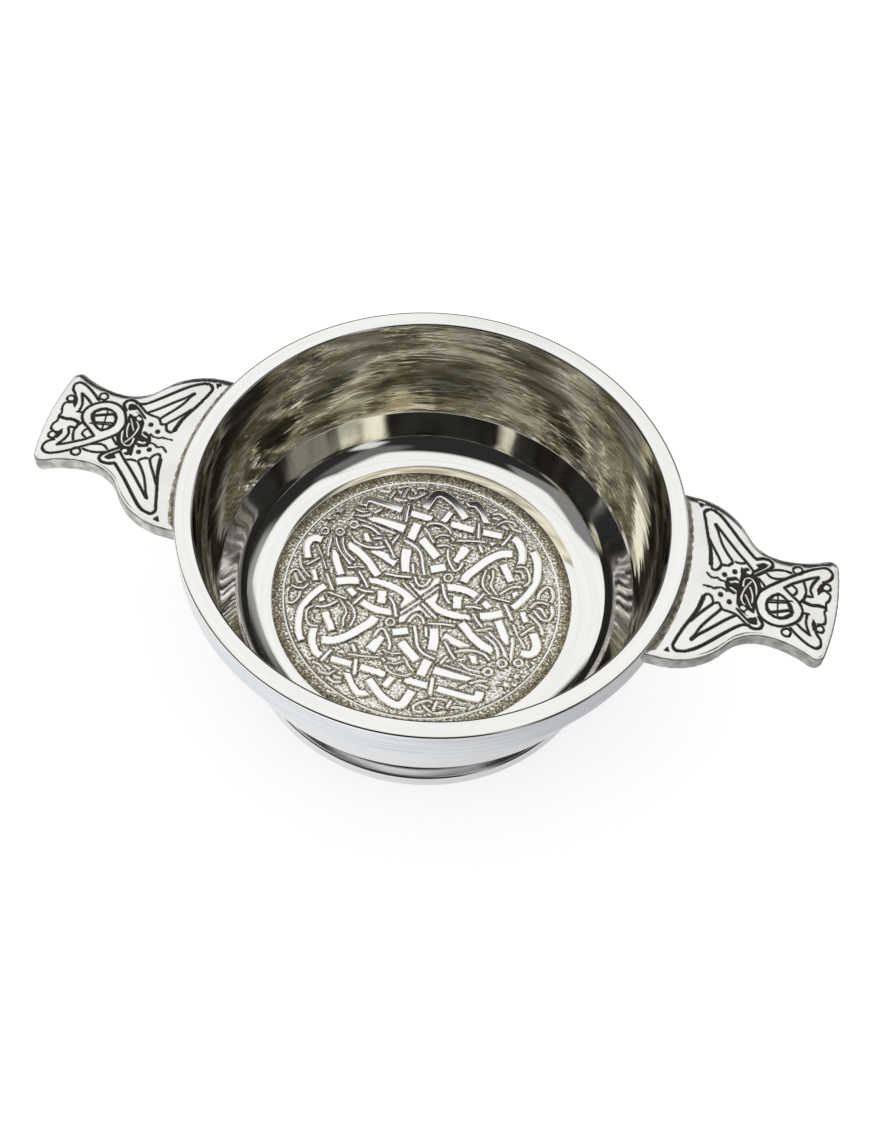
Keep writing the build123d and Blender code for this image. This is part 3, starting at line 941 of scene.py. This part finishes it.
@dataclass
class StruckDisc:
    """The struck disc let into the floor, sizes in millimetres."""

    radius: float = 34.725
    offset: float = 0.9
    top: float = 12.99
    seat: float = 12.4
    line_radius: float = 31.975
    line_width: float = 0.5
    border_depth: float = 0.22
    ground_depth: float = 0.3
    shade_reach: float = 0.9
    cells: int = 300
    off_centre: tuple[float, float] = (0.1, 1.15)

    def drifted(self, where: np.ndarray) -> np.ndarray:
        """Finds where each point lies in the half-turn drawing.

        The struck drawing isn't quite even: its middle is a little off the disc's own centre,
        and the shift fades with the radius to the power 1.5.
        """
        radius = np.linalg.norm(where, axis=1)
        across = self.off_centre[0] + 0.0011 * radius**2 * np.clip(1 - (radius / 33) ** 4, 0, 1)
        down = self.off_centre[1] - 1.45 * (radius / 29) ** 1.5 + 0.4
        return where / 1.025 + np.stack([across, down], 1)

    def relief(self, where: np.ndarray) -> Relief:
        """Works the face: interlace on a sunk ground, a raised line and a rough border.

        Args:
            where: The face's points.

        Returns:
            Its depth and darkness at each point.
        """
        relief = Relief(self.drifted(where), self.ground_depth, 0.27)
        for turn in (1.0, -1.0):
            for stroke in INTERLACE:
                relief.shade(stroke, turn, self.shade_reach, 0.2)
        for turn in (1.0, -1.0):
            for stroke in INTERLACE:
                relief.draw(stroke, turn)
        radius = np.linalg.norm(where, axis=1)
        relief.where = where
        outside = relief.inside(self.line_radius - 0.75 - radius)
        relief.lay(np.arange(len(where)), outside, self.ground_depth, 0.4)
        line = relief.inside(np.abs(radius - self.line_radius) - self.line_width / 2)
        relief.lay(np.arange(len(where)), line, 0.0, 0.06)
        border = relief.inside(self.line_radius + 0.6 - radius)
        relief.lay(np.arange(len(where)), border, self.border_depth, 0.4 + 0.25 * np.clip((radius - 32.6) / 1.6, 0, 1))
        ground = np.clip((relief.dark - 0.2) / 0.1, 0, 1)
        relief.depth += ground * 0.05 * (1 + ripple(where[:, 0], where[:, 1], 0.8, 3))
        return relief

    def build(self) -> bpy.types.Object:
        """Builds the disc in place of its node.

        Its face is a square grid bent to a disc: a point at (a, b) goes to the radius of the
        larger of the two, at an angle of their ratio times an eighth of a turn.
        """
        line = np.linspace(-1, 1, self.cells)
        a, b = (g.ravel() for g in np.meshgrid(line, line, indexing="ij"))
        flat = np.abs(a) >= np.abs(b)
        reach = np.where(flat, a, b)
        ratio = np.where(flat, b, a) / np.where(reach == 0, 1, reach)
        angle = np.where(flat, ratio * math.pi / 4, math.pi / 2 - ratio * math.pi / 4)
        where = self.radius * np.stack([reach * np.cos(angle), reach * np.sin(angle)], 1)
        relief = self.relief(where)
        top = np.column_stack([where - [self.offset, 0.0], self.top - relief.depth])
        n = self.cells
        number = np.arange(n * n).reshape(n, n)
        faces = np.stack([number[:-1, :-1], number[1:, :-1], number[1:, 1:], number[:-1, 1:]], -1).reshape(-1, 4).tolist()
        edge = np.concatenate([number[:-1, 0], number[-1, :-1], number[:0:-1, -1], number[0, :0:-1]])
        low = top[edge].copy()
        low[:, 2] = self.seat
        ring = n * n + np.arange(len(edge))
        faces += np.stack([edge, ring, np.roll(ring, -1), np.roll(edge, -1)], -1).tolist()
        faces.append(ring[::-1].tolist())
        piece = make_piece("struck_disc", np.concatenate([top, low]) * MM, faces, 60.0)
        mark(piece, "dark", np.concatenate([relief.dark, np.full(len(edge), 0.8)]))
        piece.data.materials.append(StruckMetal().material())
        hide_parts("base_medallion")
        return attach(piece, "root")


# Lugs


def groove(width: float, *points: tuple[float, float], to: float | None = None) -> Stroke:
    """A dark cut line."""
    return Stroke(Cut.GROOVE, width, points, to)


def land(width: float, *points: tuple[float, float], to: float | None = None) -> Stroke:
    """A bright line that stands in a dark area."""
    return Stroke(Cut.LAND, width, points, to)


def pit(*points: tuple[float, float]) -> Stroke:
    """A dark area with corners."""
    return Stroke(Cut.PIT, 0.0, points)


def island(*points: tuple[float, float]) -> Stroke:
    """A bright area that stands in a dark one."""
    return Stroke(Cut.ISLAND, 0.0, points)


def dot(x: float, y: float, radius: float) -> Stroke:
    """A round dark dot."""
    return groove(2 * radius, (x, y), (x + 0.01, y))


def ball(x: float, y: float, radius: float) -> Stroke:
    """A small circle cut as a line."""
    angle = np.linspace(0, 2 * math.pi, 9)
    return groove(0.38, *zip((x + radius * np.cos(angle)).tolist(), (y + radius * np.sin(angle)).tolist()))


# The lug's ornament, along the lug from the bowl's axis and across it
FISHTAIL = (
    # Upper wing
    groove(0.9, (59.7, 4.6), (59.3, 6.8), (58.8, 8.8), (57.7, 12.0), to=0.58),
    groove(0.58, (57.7, 12.0), (56.6, 15.5), (56.1, 17.2), (56.9, 18.25), (58.3, 18.05), (59.8, 17.2), (62.0, 15.0), (65.0, 11.8), (67.5, 9.4), (68.6, 8.4)),
    groove(0.43, (58.4, 10.6), (59.6, 8.7), (61.1, 6.5), (61.8, 5.1), (61.6, 4.0), (60.9, 3.25), (60.2, 3.4), (59.9, 4.3)),
    groove(0.43, (59.2, 14.6), (60.2, 12.2), (61.4, 9.8), (62.9, 7.7), (63.9, 6.6), (64.0, 5.95), (63.2, 5.1), (62.3, 5.0)),
    groove(0.47, (59.5, 14.3), (62.3, 11.4), (65.0, 8.7), (67.0, 6.9), (68.8, 5.05)),
    groove(0.7, (59.0, 14.7), (59.9, 13.4)),
    groove(0.39, (67.0, 6.9), (65.8, 6.4), (64.6, 6.4)),
    groove(0.47, (68.8, 5.0), (69.6, 5.8), (70.4, 6.6)),
    groove(0.58, (68.8, 8.35), (70.0, 8.85), (71.5, 8.85), (72.35, 8.0), (72.1, 6.9), (70.9, 5.65), (69.5, 4.4), (68.8, 3.6)),
    pit((69.0, 6.9), (70.4, 7.75), (71.4, 7.6), (70.7, 6.4), (70.0, 5.9)),
    pit((54.4, 19.55), (55.8, 19.4), (55.1, 18.3)),
    # Lower wing
    groove(0.9, (59.6, -4.1), (59.1, -7.0), (58.0, -10.0), to=0.58),
    groove(0.58, (58.0, -10.0), (56.8, -13.0), (55.95, -15.8), (55.65, -17.35), (56.45, -18.3), (57.9, -18.15), (60.0, -16.9), (62.0, -15.05), (65.0, -11.8), (67.8, -9.0), (69.4, -8.3), (70.8, -8.8), (72.1, -8.4), (72.55, -7.3), (72.1, -6.4), (71.5, -5.7)),
    groove(0.43, (58.1, -10.5), (59.15, -8.8), (60.55, -6.8), (61.75, -5.1), (61.5, -3.95), (61.05, -3.3), (60.2, -3.15), (59.75, -3.75)),
    groove(0.43, (59.4, -14.0), (60.3, -11.5), (61.7, -9.0), (63.1, -6.9), (63.6, -6.0)),
    groove(0.47, (59.5, -14.0), (62.0, -11.5), (64.7, -8.6), (66.3, -7.1), (66.9, -6.6)),
    groove(0.7, (59.0, -14.8), (59.9, -13.5)),
    groove(0.39, (62.1, -4.9), (62.9, -4.6), (63.4, -5.3), (64.1, -6.0), (65.5, -6.15), (67.0, -6.5), (67.9, -7.1), (69.4, -8.2)),
    groove(0.39, (66.8, -5.0), (68.2, -6.2), (69.5, -7.2), (70.3, -7.5), (71.2, -7.4), (70.8, -6.2)),
    pit((69.2, -6.9), (70.5, -5.9), (71.3, -6.4), (71.1, -7.6), (70.0, -7.8)),
    pit((54.1, -19.1), (55.3, -19.1), (54.7, -17.9)),
    # Heads
    dot(64.9, 3.95, 0.5),
    dot(62.95, 2.65, 0.5),
    dot(65.0, -3.75, 0.5),
    dot(62.95, -2.45, 0.5),
    groove(0.31, (66.2, 5.2), (66.3, 4.2), (67.2, 3.9)),
    groove(0.31, (59.3, 2.1), (60.5, 1.2), (61.6, 1.5), (62.2, 1.1), (63.3, 0.9)),
    groove(0.31, (59.2, -1.2), (60.4, -1.15), (61.4, -1.3), (62.1, -0.9), (63.3, -0.85), (64.2, -1.3)),
    # Knot between the heads
    pit((66.2, 5.0), (67.3, 5.6), (68.8, 4.6), (70.2, 3.4), (70.9, 1.6), (70.6, -1.0), (70.4, -3.2), (70.4, -5.0), (69.2, -6.1), (67.6, -5.2), (66.5, -3.6), (66.2, -1.0), (66.3, 2.0)),
    pit((63.6, 2.0), (65.4, 2.7), (66.6, 1.8), (66.6, -0.6), (65.6, -1.6), (64.0, -0.9), (63.4, 0.4)),
    land(0.5, (67.2, 0.9), (67.1, 2.0), (67.4, 2.9), (68.2, 3.2), (69.0, 2.8), (69.6, 1.9), (70.0, 0.7), (70.3, -0.6)),
    land(0.5, (68.6, 2.4), (68.1, 1.5), (67.6, 0.3), (67.3, -1.1), (67.3, -2.3), (67.8, -3.2), (68.2, -3.5)),
    land(0.45, (68.6, 1.0), (69.1, 0.0), (69.5, -1.2), (69.6, -2.6)),
    land(0.45, (68.0, -1.1), (68.6, -2.1), (69.2, -3.2), (69.7, -3.9)),
    land(1.1, (67.8, 4.6), (67.9, 4.6)),
    land(1.1, (67.9, -4.4), (68.1, -4.5)),
    land(1.3, (69.2, -5.3), (70.1, -5.7)),
    land(0.7, (64.5, 1.2), (65.2, 1.5), (65.9, 1.5)),
    land(0.6, (64.7, -0.2), (65.4, -0.5), (65.9, -0.8)),
    groove(0.39, (70.1, 3.6), (71.7, 1.9), (70.8, 1.2)),
    # Ring and the strands that cross it
    pit((74.57, 1.33), (73.27, 0.33), (72.47, -0.87), (72.27, -2.07), (72.57, -3.37), (73.37, -4.37), (74.57, -4.97), (75.87, -5.07), (77.17, -4.47), (78.07, -3.47), (78.37, -2.47), (77.87, -1.27), (76.87, 0.03), (75.67, 0.93)),
    island((73.9, 0.35), (75.1, 0.75), (76.4, -0.15), (76.3, -0.6), (73.0, -1.35)),
    island((72.85, -1.75), (73.1, -3.0), (73.6, -3.6), (77.3, -2.0), (76.7, -0.75)),
    island((73.8, -4.2), (75.0, -4.6), (76.4, -4.2), (77.5, -3.2), (77.6, -2.5)),
    groove(0.27, (74.6, 0.6), (75.2, -4.4)),
    groove(0.27, (73.1, -0.9), (77.6, 0.0)),
    groove(0.47, (75.6, 2.9), (77.4, 1.4), (79.0, 0.2), (79.9, -1.2), (80.1, -2.5), (79.5, -4.3), (78.0, -5.8), (76.0, -6.7), (74.0, -6.7), (72.0, -5.7), (70.9, -4.0), (70.3, -2.0), (70.5, -0.5), (70.9, 0.75), (72.6, 2.6), (75.0, 4.75), (77.0, 6.4), (79.3, 8.2), (81.5, 9.6), (83.4, 10.25), (84.7, 9.5), (84.9, 8.3), (84.3, 7.2), (83.3, 6.5)),
    groove(0.47, (75.6, 2.9), (77.0, 4.3), (78.7, 5.5), (80.5, 6.7), (82.1, 7.55)),
    groove(0.47, (79.5, -5.2), (80.6, -6.1), (82.3, -7.1)),
    groove(0.47, (78.2, -6.5), (79.6, -7.7), (81.5, -9.05), (83.0, -9.75), (84.1, -9.8), (84.8, -8.95), (84.6, -7.65), (83.9, -6.8), (83.4, -6.0)),
    ball(77.7, 8.0, 1.0),
    ball(84.1, 5.4, 0.9),
    ball(77.55, -7.8, 0.95),
    ball(84.1, -5.05, 0.85),
    # Leaves
    groove(0.43, (71.9, 6.3), (73.3, 6.85), (75.0, 7.1), (76.5, 6.9)),
    groove(0.43, (71.6, 5.3), (72.6, 4.6), (74.0, 4.7), (75.6, 5.3)),
    groove(0.47, (79.4, 5.3), (80.1, 3.3), (80.0, 1.6), (79.3, 0.2)),
    groove(0.35, (77.2, 3.9), (78.1, 3.2), (78.1, 2.3), (77.6, 1.5)),
    groove(0.47, (82.1, 7.4), (81.2, 5.5), (80.95, 3.9), (81.5, 2.4), (80.1, 2.1), (80.0, 1.1), (80.3, 0.5)),
    pit((83.7, 6.45), (82.8, 5.8), (82.3, 4.4), (82.6, 3.15), (83.2, 4.05), (83.7, 4.35), (83.5, 5.4)),
    pit((82.4, -3.0), (83.2, -4.1), (83.5, -5.1), (83.6, -6.1), (82.8, -5.7), (82.3, -4.3)),
    groove(0.39, (84.2, 4.45), (85.1, 3.75), (85.05, 2.45), (84.55, 1.45), (84.75, 0.2), (84.5, -0.8), (84.95, -2.2), (84.8, -3.6), (83.6, -4.05)),
    groove(0.66, (80.2, 0.5), (81.6, 0.2), (83.0, 0.5), (84.2, 0.4)),
    groove(0.39, (80.1, -2.2), (81.4, -2.1)),
    groove(0.47, (81.1, -2.2), (81.2, -4.5), (82.3, -7.1)),
)


@dataclass
class Lug:
    """One fishtail lug, sizes in millimetres and degrees, along and across its own face."""

    name: str
    turn: float
    band_radius: float = 54.7
    height: float = 47.5
    thickness: float = 4.6
    rise: float = 1.2
    root_half_width: float = 20.9
    flank_start: float = 53.5
    flank_radius: float = 15.3
    flank_turn: float = 56.4
    waist: tuple[float, float] = (74.0, 9.9)
    waist_inner_radius: float = 9.3
    waist_outer_radius: float = 20.0
    tip: float = 87.1
    tip_radius: float = 60.0
    tip_corner: float = 1.9
    top_edge: float = 0.6
    bottom_edge: float = 1.3
    crown_width: float = 1.7
    crown_drop: float = 0.22
    cut_depth: float = 0.32
    along_cells: int = 250
    across_cells: int = 220

    def side_line(self) -> tuple[np.ndarray, int]:
        """The upper half of the outline, and the number of the point in the middle of the corner.

        A straight run, an arc that falls to the waist, an arc into it and an arc out of it to
        the tip, whose corner is rounded to meet the tip's own arc.
        """
        flank_centre = np.array([self.flank_start, self.root_half_width - self.flank_radius])
        angle = np.radians(np.linspace(90, 90 - self.flank_turn, 90))
        flank = flank_centre + self.flank_radius * np.stack([np.cos(angle), np.sin(angle)], 1)
        angle = np.radians(np.linspace(270 - self.flank_turn, 270, 60))
        inner = np.array([self.waist[0], self.waist[1] + self.waist_inner_radius])
        into = inner + self.waist_inner_radius * np.stack([np.cos(angle), np.sin(angle)], 1)
        outer = np.array([self.waist[0], self.waist[1] + self.waist_outer_radius])
        tip_centre = np.array([self.tip - self.tip_radius, 0.0])
        # The corner's circle touches the tail's arc from below and the tip's arc from inside
        far, near = self.waist_outer_radius + self.tip_corner, self.tip_radius - self.tip_corner
        gap = outer - tip_centre
        reach = np.linalg.norm(gap)
        along = (near**2 - far**2 + reach**2) / (2 * reach)
        aside = math.sqrt(near**2 - along**2)
        corner = tip_centre + gap / reach * along + aside * np.array([gap[1], -gap[0]]) / reach
        end = math.atan2(*(corner - outer)[::-1]) % (2 * math.pi)
        angle = np.linspace(1.5 * math.pi, end, 60)
        tail = outer + self.waist_outer_radius * np.stack([np.cos(angle), np.sin(angle)], 1)
        start, stop = end - math.pi, math.atan2(*(corner - tip_centre)[::-1])
        angle = np.linspace(start, stop, 40)
        rounded = corner + self.tip_corner * np.stack([np.cos(angle), np.sin(angle)], 1)
        tip_angle = np.linspace(stop, 0, 60)
        tip_line = tip_centre + self.tip_radius * np.stack([np.cos(tip_angle), np.sin(tip_angle)], 1)
        root = np.array([[math.sqrt(self.band_radius**2 - self.root_half_width**2), self.root_half_width]])
        runs = (root, flank, into[1:], tail[1:], rounded[1:21])
        return np.concatenate([*runs, rounded[21:], tip_line[1:]]), sum(len(run) for run in runs) - 1

    def outline(self) -> tuple[np.ndarray, int, int]:
        """The outline without the root, evenly divided on each side and across the tip.

        Returns:
            Its points, and the two numbers at which the tip starts and ends.
        """
        half, middle = self.side_line()
        length = np.concatenate([[0], np.cumsum(np.linalg.norm(np.diff(half, axis=0), axis=1))])
        corner = length[middle]
        across = np.linspace(corner, length[-1], self.across_cells // 2)[1:]
        places = np.concatenate([np.linspace(0, corner, self.along_cells), across])
        upper = np.stack([np.interp(places, length, half[:, k]) for k in (0, 1)], 1)
        lower = upper[-2::-1] * [1, -1]
        return np.concatenate([upper, lower]), self.along_cells - 1, len(upper) + self.across_cells // 2 - 2

    def on_band(self, across: np.ndarray, depth: np.ndarray | float) -> np.ndarray:
        """How far along the lug's face the band's cylinder lies, at a place across and deep."""
        rise = math.radians(self.rise)
        return (np.sqrt(self.band_radius**2 - across**2) + depth * math.sin(rise)) / math.cos(rise)

    def placed(self, points: np.ndarray) -> np.ndarray:
        """Carries points from along, across and up the lug's face to the bowl's own axes."""
        rise = math.radians(self.rise)
        level = self.height - self.band_radius * math.tan(rise)
        along, across, up = points.T
        turn = math.cos(math.radians(self.turn))
        x = along * math.cos(rise) - up * math.sin(rise)
        z = level + along * math.sin(rise) + up * math.cos(rise)
        return np.stack([turn * x, turn * across, z], 1) * MM

    def rings(self, outline: np.ndarray) -> np.ndarray:
        """Rings of points from the rounded top edge down the side to the rounded underside.

        Each ring is the outline moved in along its normals, at one height. A little casting
        unevenness pulls the side in.
        """
        along = np.gradient(outline, axis=0)
        along /= np.linalg.norm(along, axis=1)[:, None]
        normal = np.stack([-along[:, 1], along[:, 0]], 1)
        normal[0], normal[-1] = (0, 1), (0, -1)
        top, low, drop = self.top_edge, self.bottom_edge, self.crown_drop
        quarter = np.linspace(0, math.pi / 2, 7)
        steps = [(top * (1 - math.sin(a)), (top - drop) * (math.cos(a) - 1) - drop) for a in quarter]
        steps += [(0.0, z) for z in np.linspace(-top, low - self.thickness, 8)[1:-1]]
        steps += [(low * (1 - math.cos(a)), low * (1 - math.sin(a)) - self.thickness) for a in quarter]
        rows = []
        for inset, height in steps:
            wobble = 0.035 * (1 + ripple(outline[:, 0] + outline[:, 1], outline[:, 1] - 7 * height, 2.6, 11))
            row = outline - normal * (inset + wobble[:, None] * min(1.0, -height / 0.6) * (inset < 1.2))
            for end in (0, -1):
                row[end, 0] = self.on_band(row[end, 1], height)
            rows.append(np.column_stack([row, np.full(len(row), height)]))
        return np.array(rows)

    def face(self, edge: np.ndarray, first: int, last: int) -> np.ndarray:
        """The top face as a grid between the root, the tip and the two sides.

        A point is the sum of its places between root and tip and between the two sides, less
        its place between the four corners.

        Args:
            edge: The face's outer ring.
            first: The number at which the tip starts.
            last: The number at which it ends.

        Returns:
            A grid of points, along and across.
        """
        upper, tip, lower = edge[: first + 1, :2], edge[first : last + 1, :2], edge[last:, :2][::-1]
        t = np.linspace(0, 1, len(upper))[:, None, None]
        s = np.linspace(0, 1, len(tip))[None, :, None]
        across = upper[0, 1] + (lower[0, 1] - upper[0, 1]) * s[0, :, 0]
        root = np.stack([self.on_band(across, 0.0), across], 1)
        sides = upper[:, None] * (1 - s) + lower[:, None] * s
        ends = root[None] * (1 - t) + tip[None] * t
        corners = (root[0] * (1 - s) + root[-1] * s) * (1 - t) + (tip[0] * (1 - s) + tip[-1] * s) * t
        return sides + ends - corners

    def crown(self, grid: np.ndarray) -> np.ndarray:
        """How far each point of the top face lies low: more, with the square, near an edge."""
        gaps = [np.linalg.norm(grid - edge, axis=2) for edge in (grid[:, :1], grid[:, -1:], grid[-1:])]
        return self.crown_drop * np.clip(1 - np.minimum.reduce(gaps) / self.crown_width, 0, 1) ** 2

    def build(self) -> bpy.types.Object:
        """Builds the lug in place of its node."""
        outline, first, last = self.outline()
        rings = self.rings(outline)
        grid = self.face(rings[0], first, last)
        rows, columns = grid.shape[:2]
        flat = grid.reshape(-1, 2)
        relief = Relief(flat, 0.0, 0.0, groove_depth=self.cut_depth, groove_dark=1.0, softness=0.1)
        for stroke in FISHTAIL:
            relief.draw(stroke)
        number = np.arange(rows * columns).reshape(rows, columns)
        border = np.concatenate([number[:, 0], number[-1, 1:-1], number[::-1, -1]])
        relief.depth[border] = relief.dark[border] = 0.0
        ring_count, ring_size = rings.shape[:2]
        lower = rows * columns + np.arange((ring_count - 1) * ring_size).reshape(-1, ring_size)
        bands = np.concatenate([border[None], lower])
        faces = np.stack([number[:-1, :-1], number[:-1, 1:], number[1:, 1:], number[1:, :-1]], -1).reshape(-1, 4).tolist()
        faces += np.stack([bands[:-1, :-1], bands[:-1, 1:], bands[1:, 1:], bands[1:, :-1]], -1).reshape(-1, 4).tolist()
        faces.append(bands[-1][::-1].tolist())
        faces.append(np.concatenate([bands[::-1, -1][:-1], number[0, ::-1], bands[1:, 0]])[::-1].tolist())
        top = np.column_stack([flat, -relief.depth - self.crown(grid).ravel()])
        points = np.concatenate([top, rings[1:].reshape(-1, 3)])
        piece = make_piece(f"lug_cast_{self.name}", self.placed(points), faces, 50.0)
        skin = np.clip(-rings[1:, :, 2].ravel() / self.top_edge, 0, 1)
        mark(piece, "skin", np.concatenate([np.zeros(len(top)), skin]))
        mark(piece, "dark", np.concatenate([relief.dark, np.zeros(len(skin))]))
        piece.data.materials.append(bpy.data.materials.get(CastMetal.name) or CastMetal().material())
        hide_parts(f"lug_{self.name}")
        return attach(piece, "root")


@dataclass
class SolderBead:
    """The bead of solder along a lug's root, sizes in millimetres."""

    name: str
    turn: float
    band_radius: float = 54.7
    lug_height: float = 47.5
    half_width: float = 20.3
    reach: float = 1.25
    rise: float = 0.8
    sink: float = 0.3
    pieces: int = 260

    def build(self) -> bpy.types.Object:
        """Builds the bead in place of its node.

        Its section is a low quarter round against the band, carried along the root's arc. Its
        reach and height wander, and it thins out at both ends.
        """
        half = math.asin(self.half_width / self.band_radius)
        along = np.linspace(-1, 1, self.pieces)[:, None]
        angle = along * half + math.radians(self.turn)
        corner = np.linspace(0, 1, 9)[None, :]
        swell = 1 + 0.14 * ripple(along * 20, along * 3, 2.2, 5) + 0.07 * ripple(along * 20, corner * 3, 0.7, 6)
        swell = np.clip(swell, 0.6, 1.02) * np.clip((1 - np.abs(along)) * 14, 0.25, 1)
        bend = np.sin(corner * math.pi)
        out = self.reach * corner * swell
        up = self.rise * (1 - corner) * swell - 0.16 * bend * swell
        out = np.concatenate([out, out[:, -1:], out[:, :1]], 1)
        up = np.concatenate([up, 0 * along - self.sink, 0 * along - self.sink], 1)
        radius = self.band_radius + out
        points = np.stack([radius * np.cos(angle), radius * np.sin(angle), self.lug_height + up], -1)
        rows, columns = out.shape
        number = np.arange(rows * columns).reshape(rows, columns)
        beside = np.roll(number, -1, 1)
        faces = np.stack([number[:-1], beside[:-1], beside[1:], number[1:]], -1).reshape(-1, 4).tolist()
        faces += [number[0].tolist(), number[-1][::-1].tolist()]
        piece = make_piece(f"solder_bead_{self.name}", points.reshape(-1, 3) * MM, faces, 60.0)
        piece.data.materials.append(bpy.data.materials.get(SolderMetal.name) or SolderMetal().material())
        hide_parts(f"lug_solder_{self.name}")
        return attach(piece, "root")


# Studio


@dataclass(frozen=True)
class Panel:
    """A lit or grey patch of the room, in degrees from overhead to the right and to the front."""

    right: tuple[float, float]
    front: tuple[float, float]
    level: float
    edge: float = 2.0


@dataclass
class Studio:
    """The camera, the pale floor and the light round the object."""

    azimuth: float = 11.107
    elevation: float = 57.31
    roll: float = 5.079
    distance: float = 0.35897
    shift: tuple[float, float] = (0.0018765, 0.0038092)
    target_height: float = 0.0189
    lens: float = 50.0
    floor_glow: float = 0.66
    gloss_share: float = 0.88
    # Painted shade: the floor's glow, as reflections see it, fades out between these two places across the floor, in
    # metres.
    gloss_shade_fade: tuple[float, float] = (-0.02, 0.14)
    dark_room: float = 0.025
    panels: tuple[Panel, ...] = (
        Panel((-67, 34), (-44, -2), 1.0, 4.0),
        Panel((-37, 24), (-6, 21), 1.0, 5.0),
        Panel((6, 47), (-54, -24), 0.34, 8.0),
        Panel((-66, -22), (-2, 39), 0.24, 3.0),
        Panel((18, 42), (0, 38), 0.16, 6.0),
        Panel((37, 55), (35, 49), 0.75, 3.0),
        Panel((46, 58), (46, 60), 0.6, 3.0),
        Panel((68, 90), (-22, 24), 0.4, 3.0),
        Panel((-72, -58), (-44, -26), 0.9, 2.0),
        Panel((40, 58), (-68, -50), 0.8, 3.0),
    )

    def set_camera(self) -> bpy.types.Object:
        """Puts the camera where the photograph was taken from."""
        az, el, roll = (math.radians(a) for a in (self.azimuth, self.elevation, self.roll))
        back = Vector((math.sin(az) * math.cos(el), -math.cos(az) * math.cos(el), math.sin(el)))
        level = Vector((math.cos(az), math.sin(az), 0.0))
        upward = back.cross(level)
        right = level * math.cos(roll) + upward * math.sin(roll)
        up = upward * math.cos(roll) - level * math.sin(roll)
        place = Vector((0, 0, self.target_height)) + back * self.distance + right * self.shift[0] + up * self.shift[1]
        data = bpy.data.cameras.new("camera")
        data.lens, data.sensor_width, data.sensor_fit = self.lens, 36.0, "AUTO"
        data.clip_start = 0.01
        camera = bpy.data.objects.new("camera", data)
        camera.matrix_world = Matrix((right, up, back)).transposed().to_4x4()
        camera.matrix_world.translation = place
        bpy.context.scene.collection.objects.link(camera)
        bpy.context.scene.camera = camera
        return camera

    def lay_floor(self) -> bpy.types.Object:
        """Lays the pale floor, lifted to white where the camera or a reflection sees it.

        What a reflection sees of it is less bright towards the right: painted shade for a floor that lies darker there.
        """
        side = 3.0
        mesh = bpy.data.meshes.new("floor")
        corners = [(-side, -side, -5e-5), (side, -side, -5e-5), (side, side, -5e-5), (-side, side, -5e-5)]
        mesh.from_pydata(corners, [], [(0, 1, 2, 3)])
        floor = bpy.data.objects.new("floor", mesh)
        bpy.context.scene.collection.objects.link(floor)
        bench = Bench.for_material("pale_floor")
        path = bench.node("ShaderNodeLightPath").outputs
        across = bench.node("ShaderNodeSeparateXYZ", {0: bench.place}).outputs["X"]
        low, high = self.gloss_shade_fade
        # Painted shade: reflections see the floor's glow fade towards the right.
        gloss = bench.maths("MULTIPLY", path["Is Glossy Ray"], bench.span(across, low, high, self.gloss_share, 0.0))
        seen = bench.maths("MAXIMUM", path["Is Camera Ray"], bench.maths("MAXIMUM", gloss, path["Is Transmission Ray"]))
        bench.finish(
            Base_Color=(0.45, 0.45, 0.45, 1.0),
            Roughness=1.0,
            Specular_IOR_Level=0.0,
            Emission_Color=(1.0, 1.0, 1.0, 1.0),
            Emission_Strength=bench.maths("MULTIPLY", seen, self.floor_glow),
        )
        mesh.materials.append(bench.owner)
        return floor

    def light(self) -> None:
        """Sets an even white world, and what polished metal sees of the room.

        A reflection sees a dark room with lit panels. A direction at an angle from overhead lies
        that many degrees from the middle of a flat map, to its right and its front, and each panel
        is a soft-edged rectangle there. The brightest panel counts.
        """
        world = bpy.data.worlds.new("studio")
        bpy.context.scene.world = world
        bench = Bench(world, "Background")
        parts = bench.node("ShaderNodeSeparateXYZ", {0: bench.places["Generated"]}).outputs
        from_top = bench.maths("ARCCOSINE", bench.maths("MINIMUM", parts["Z"], 0.9999))
        spread = bench.maths("DIVIDE", bench.maths("MULTIPLY", from_top, math.degrees(1.0)), bench.maths("SINE", from_top))
        right = bench.maths("MULTIPLY", parts["X"], spread)
        front = bench.maths("MULTIPLY", parts["Y"], bench.maths("MULTIPLY", spread, -1.0))
        room: object = self.dark_room
        for panel in self.panels:
            lit: object = panel.level
            for place, (low, high) in ((right, panel.right), (front, panel.front)):
                lit = bench.maths("MULTIPLY", lit, bench.span(place, low - panel.edge, low + panel.edge))
                lit = bench.maths("MULTIPLY", lit, bench.span(place, high - panel.edge, high + panel.edge, 1.0, 0.0))
            room = bench.maths("MAXIMUM", room, lit)
        gloss = bench.node("ShaderNodeLightPath").outputs["Is Glossy Ray"]
        strength = bench.maths("ADD", 1.0, bench.maths("MULTIPLY", gloss, bench.maths("SUBTRACT", room, 1.0)))
        bench.finish(Color=(1.0, 1.0, 1.0, 1.0), Strength=strength)

    def build(self) -> None:
        """Sets up the whole studio."""
        self.set_camera()
        self.lay_floor()
        self.light()
        bpy.context.scene.view_settings.view_transform = "Standard"


def main() -> None:
    """Builds the studio and each piece, in order, and reports them."""
    logging.basicConfig(level=logging.INFO, format="%(message)s")
    Studio().build()
    makers = [
        Bowl(),
        StruckDisc(),
        FootRing(),
        Lug("right", 0.0),
        Lug("left", 180.0),
        SolderBead("right", 0.0),
        SolderBead("left", 180.0),
    ]
    for maker in makers:
        piece = maker.build()
        log.info("%s: %d faces", piece.name, len(piece.data.polygons))


if __name__ == "__main__":
    main()
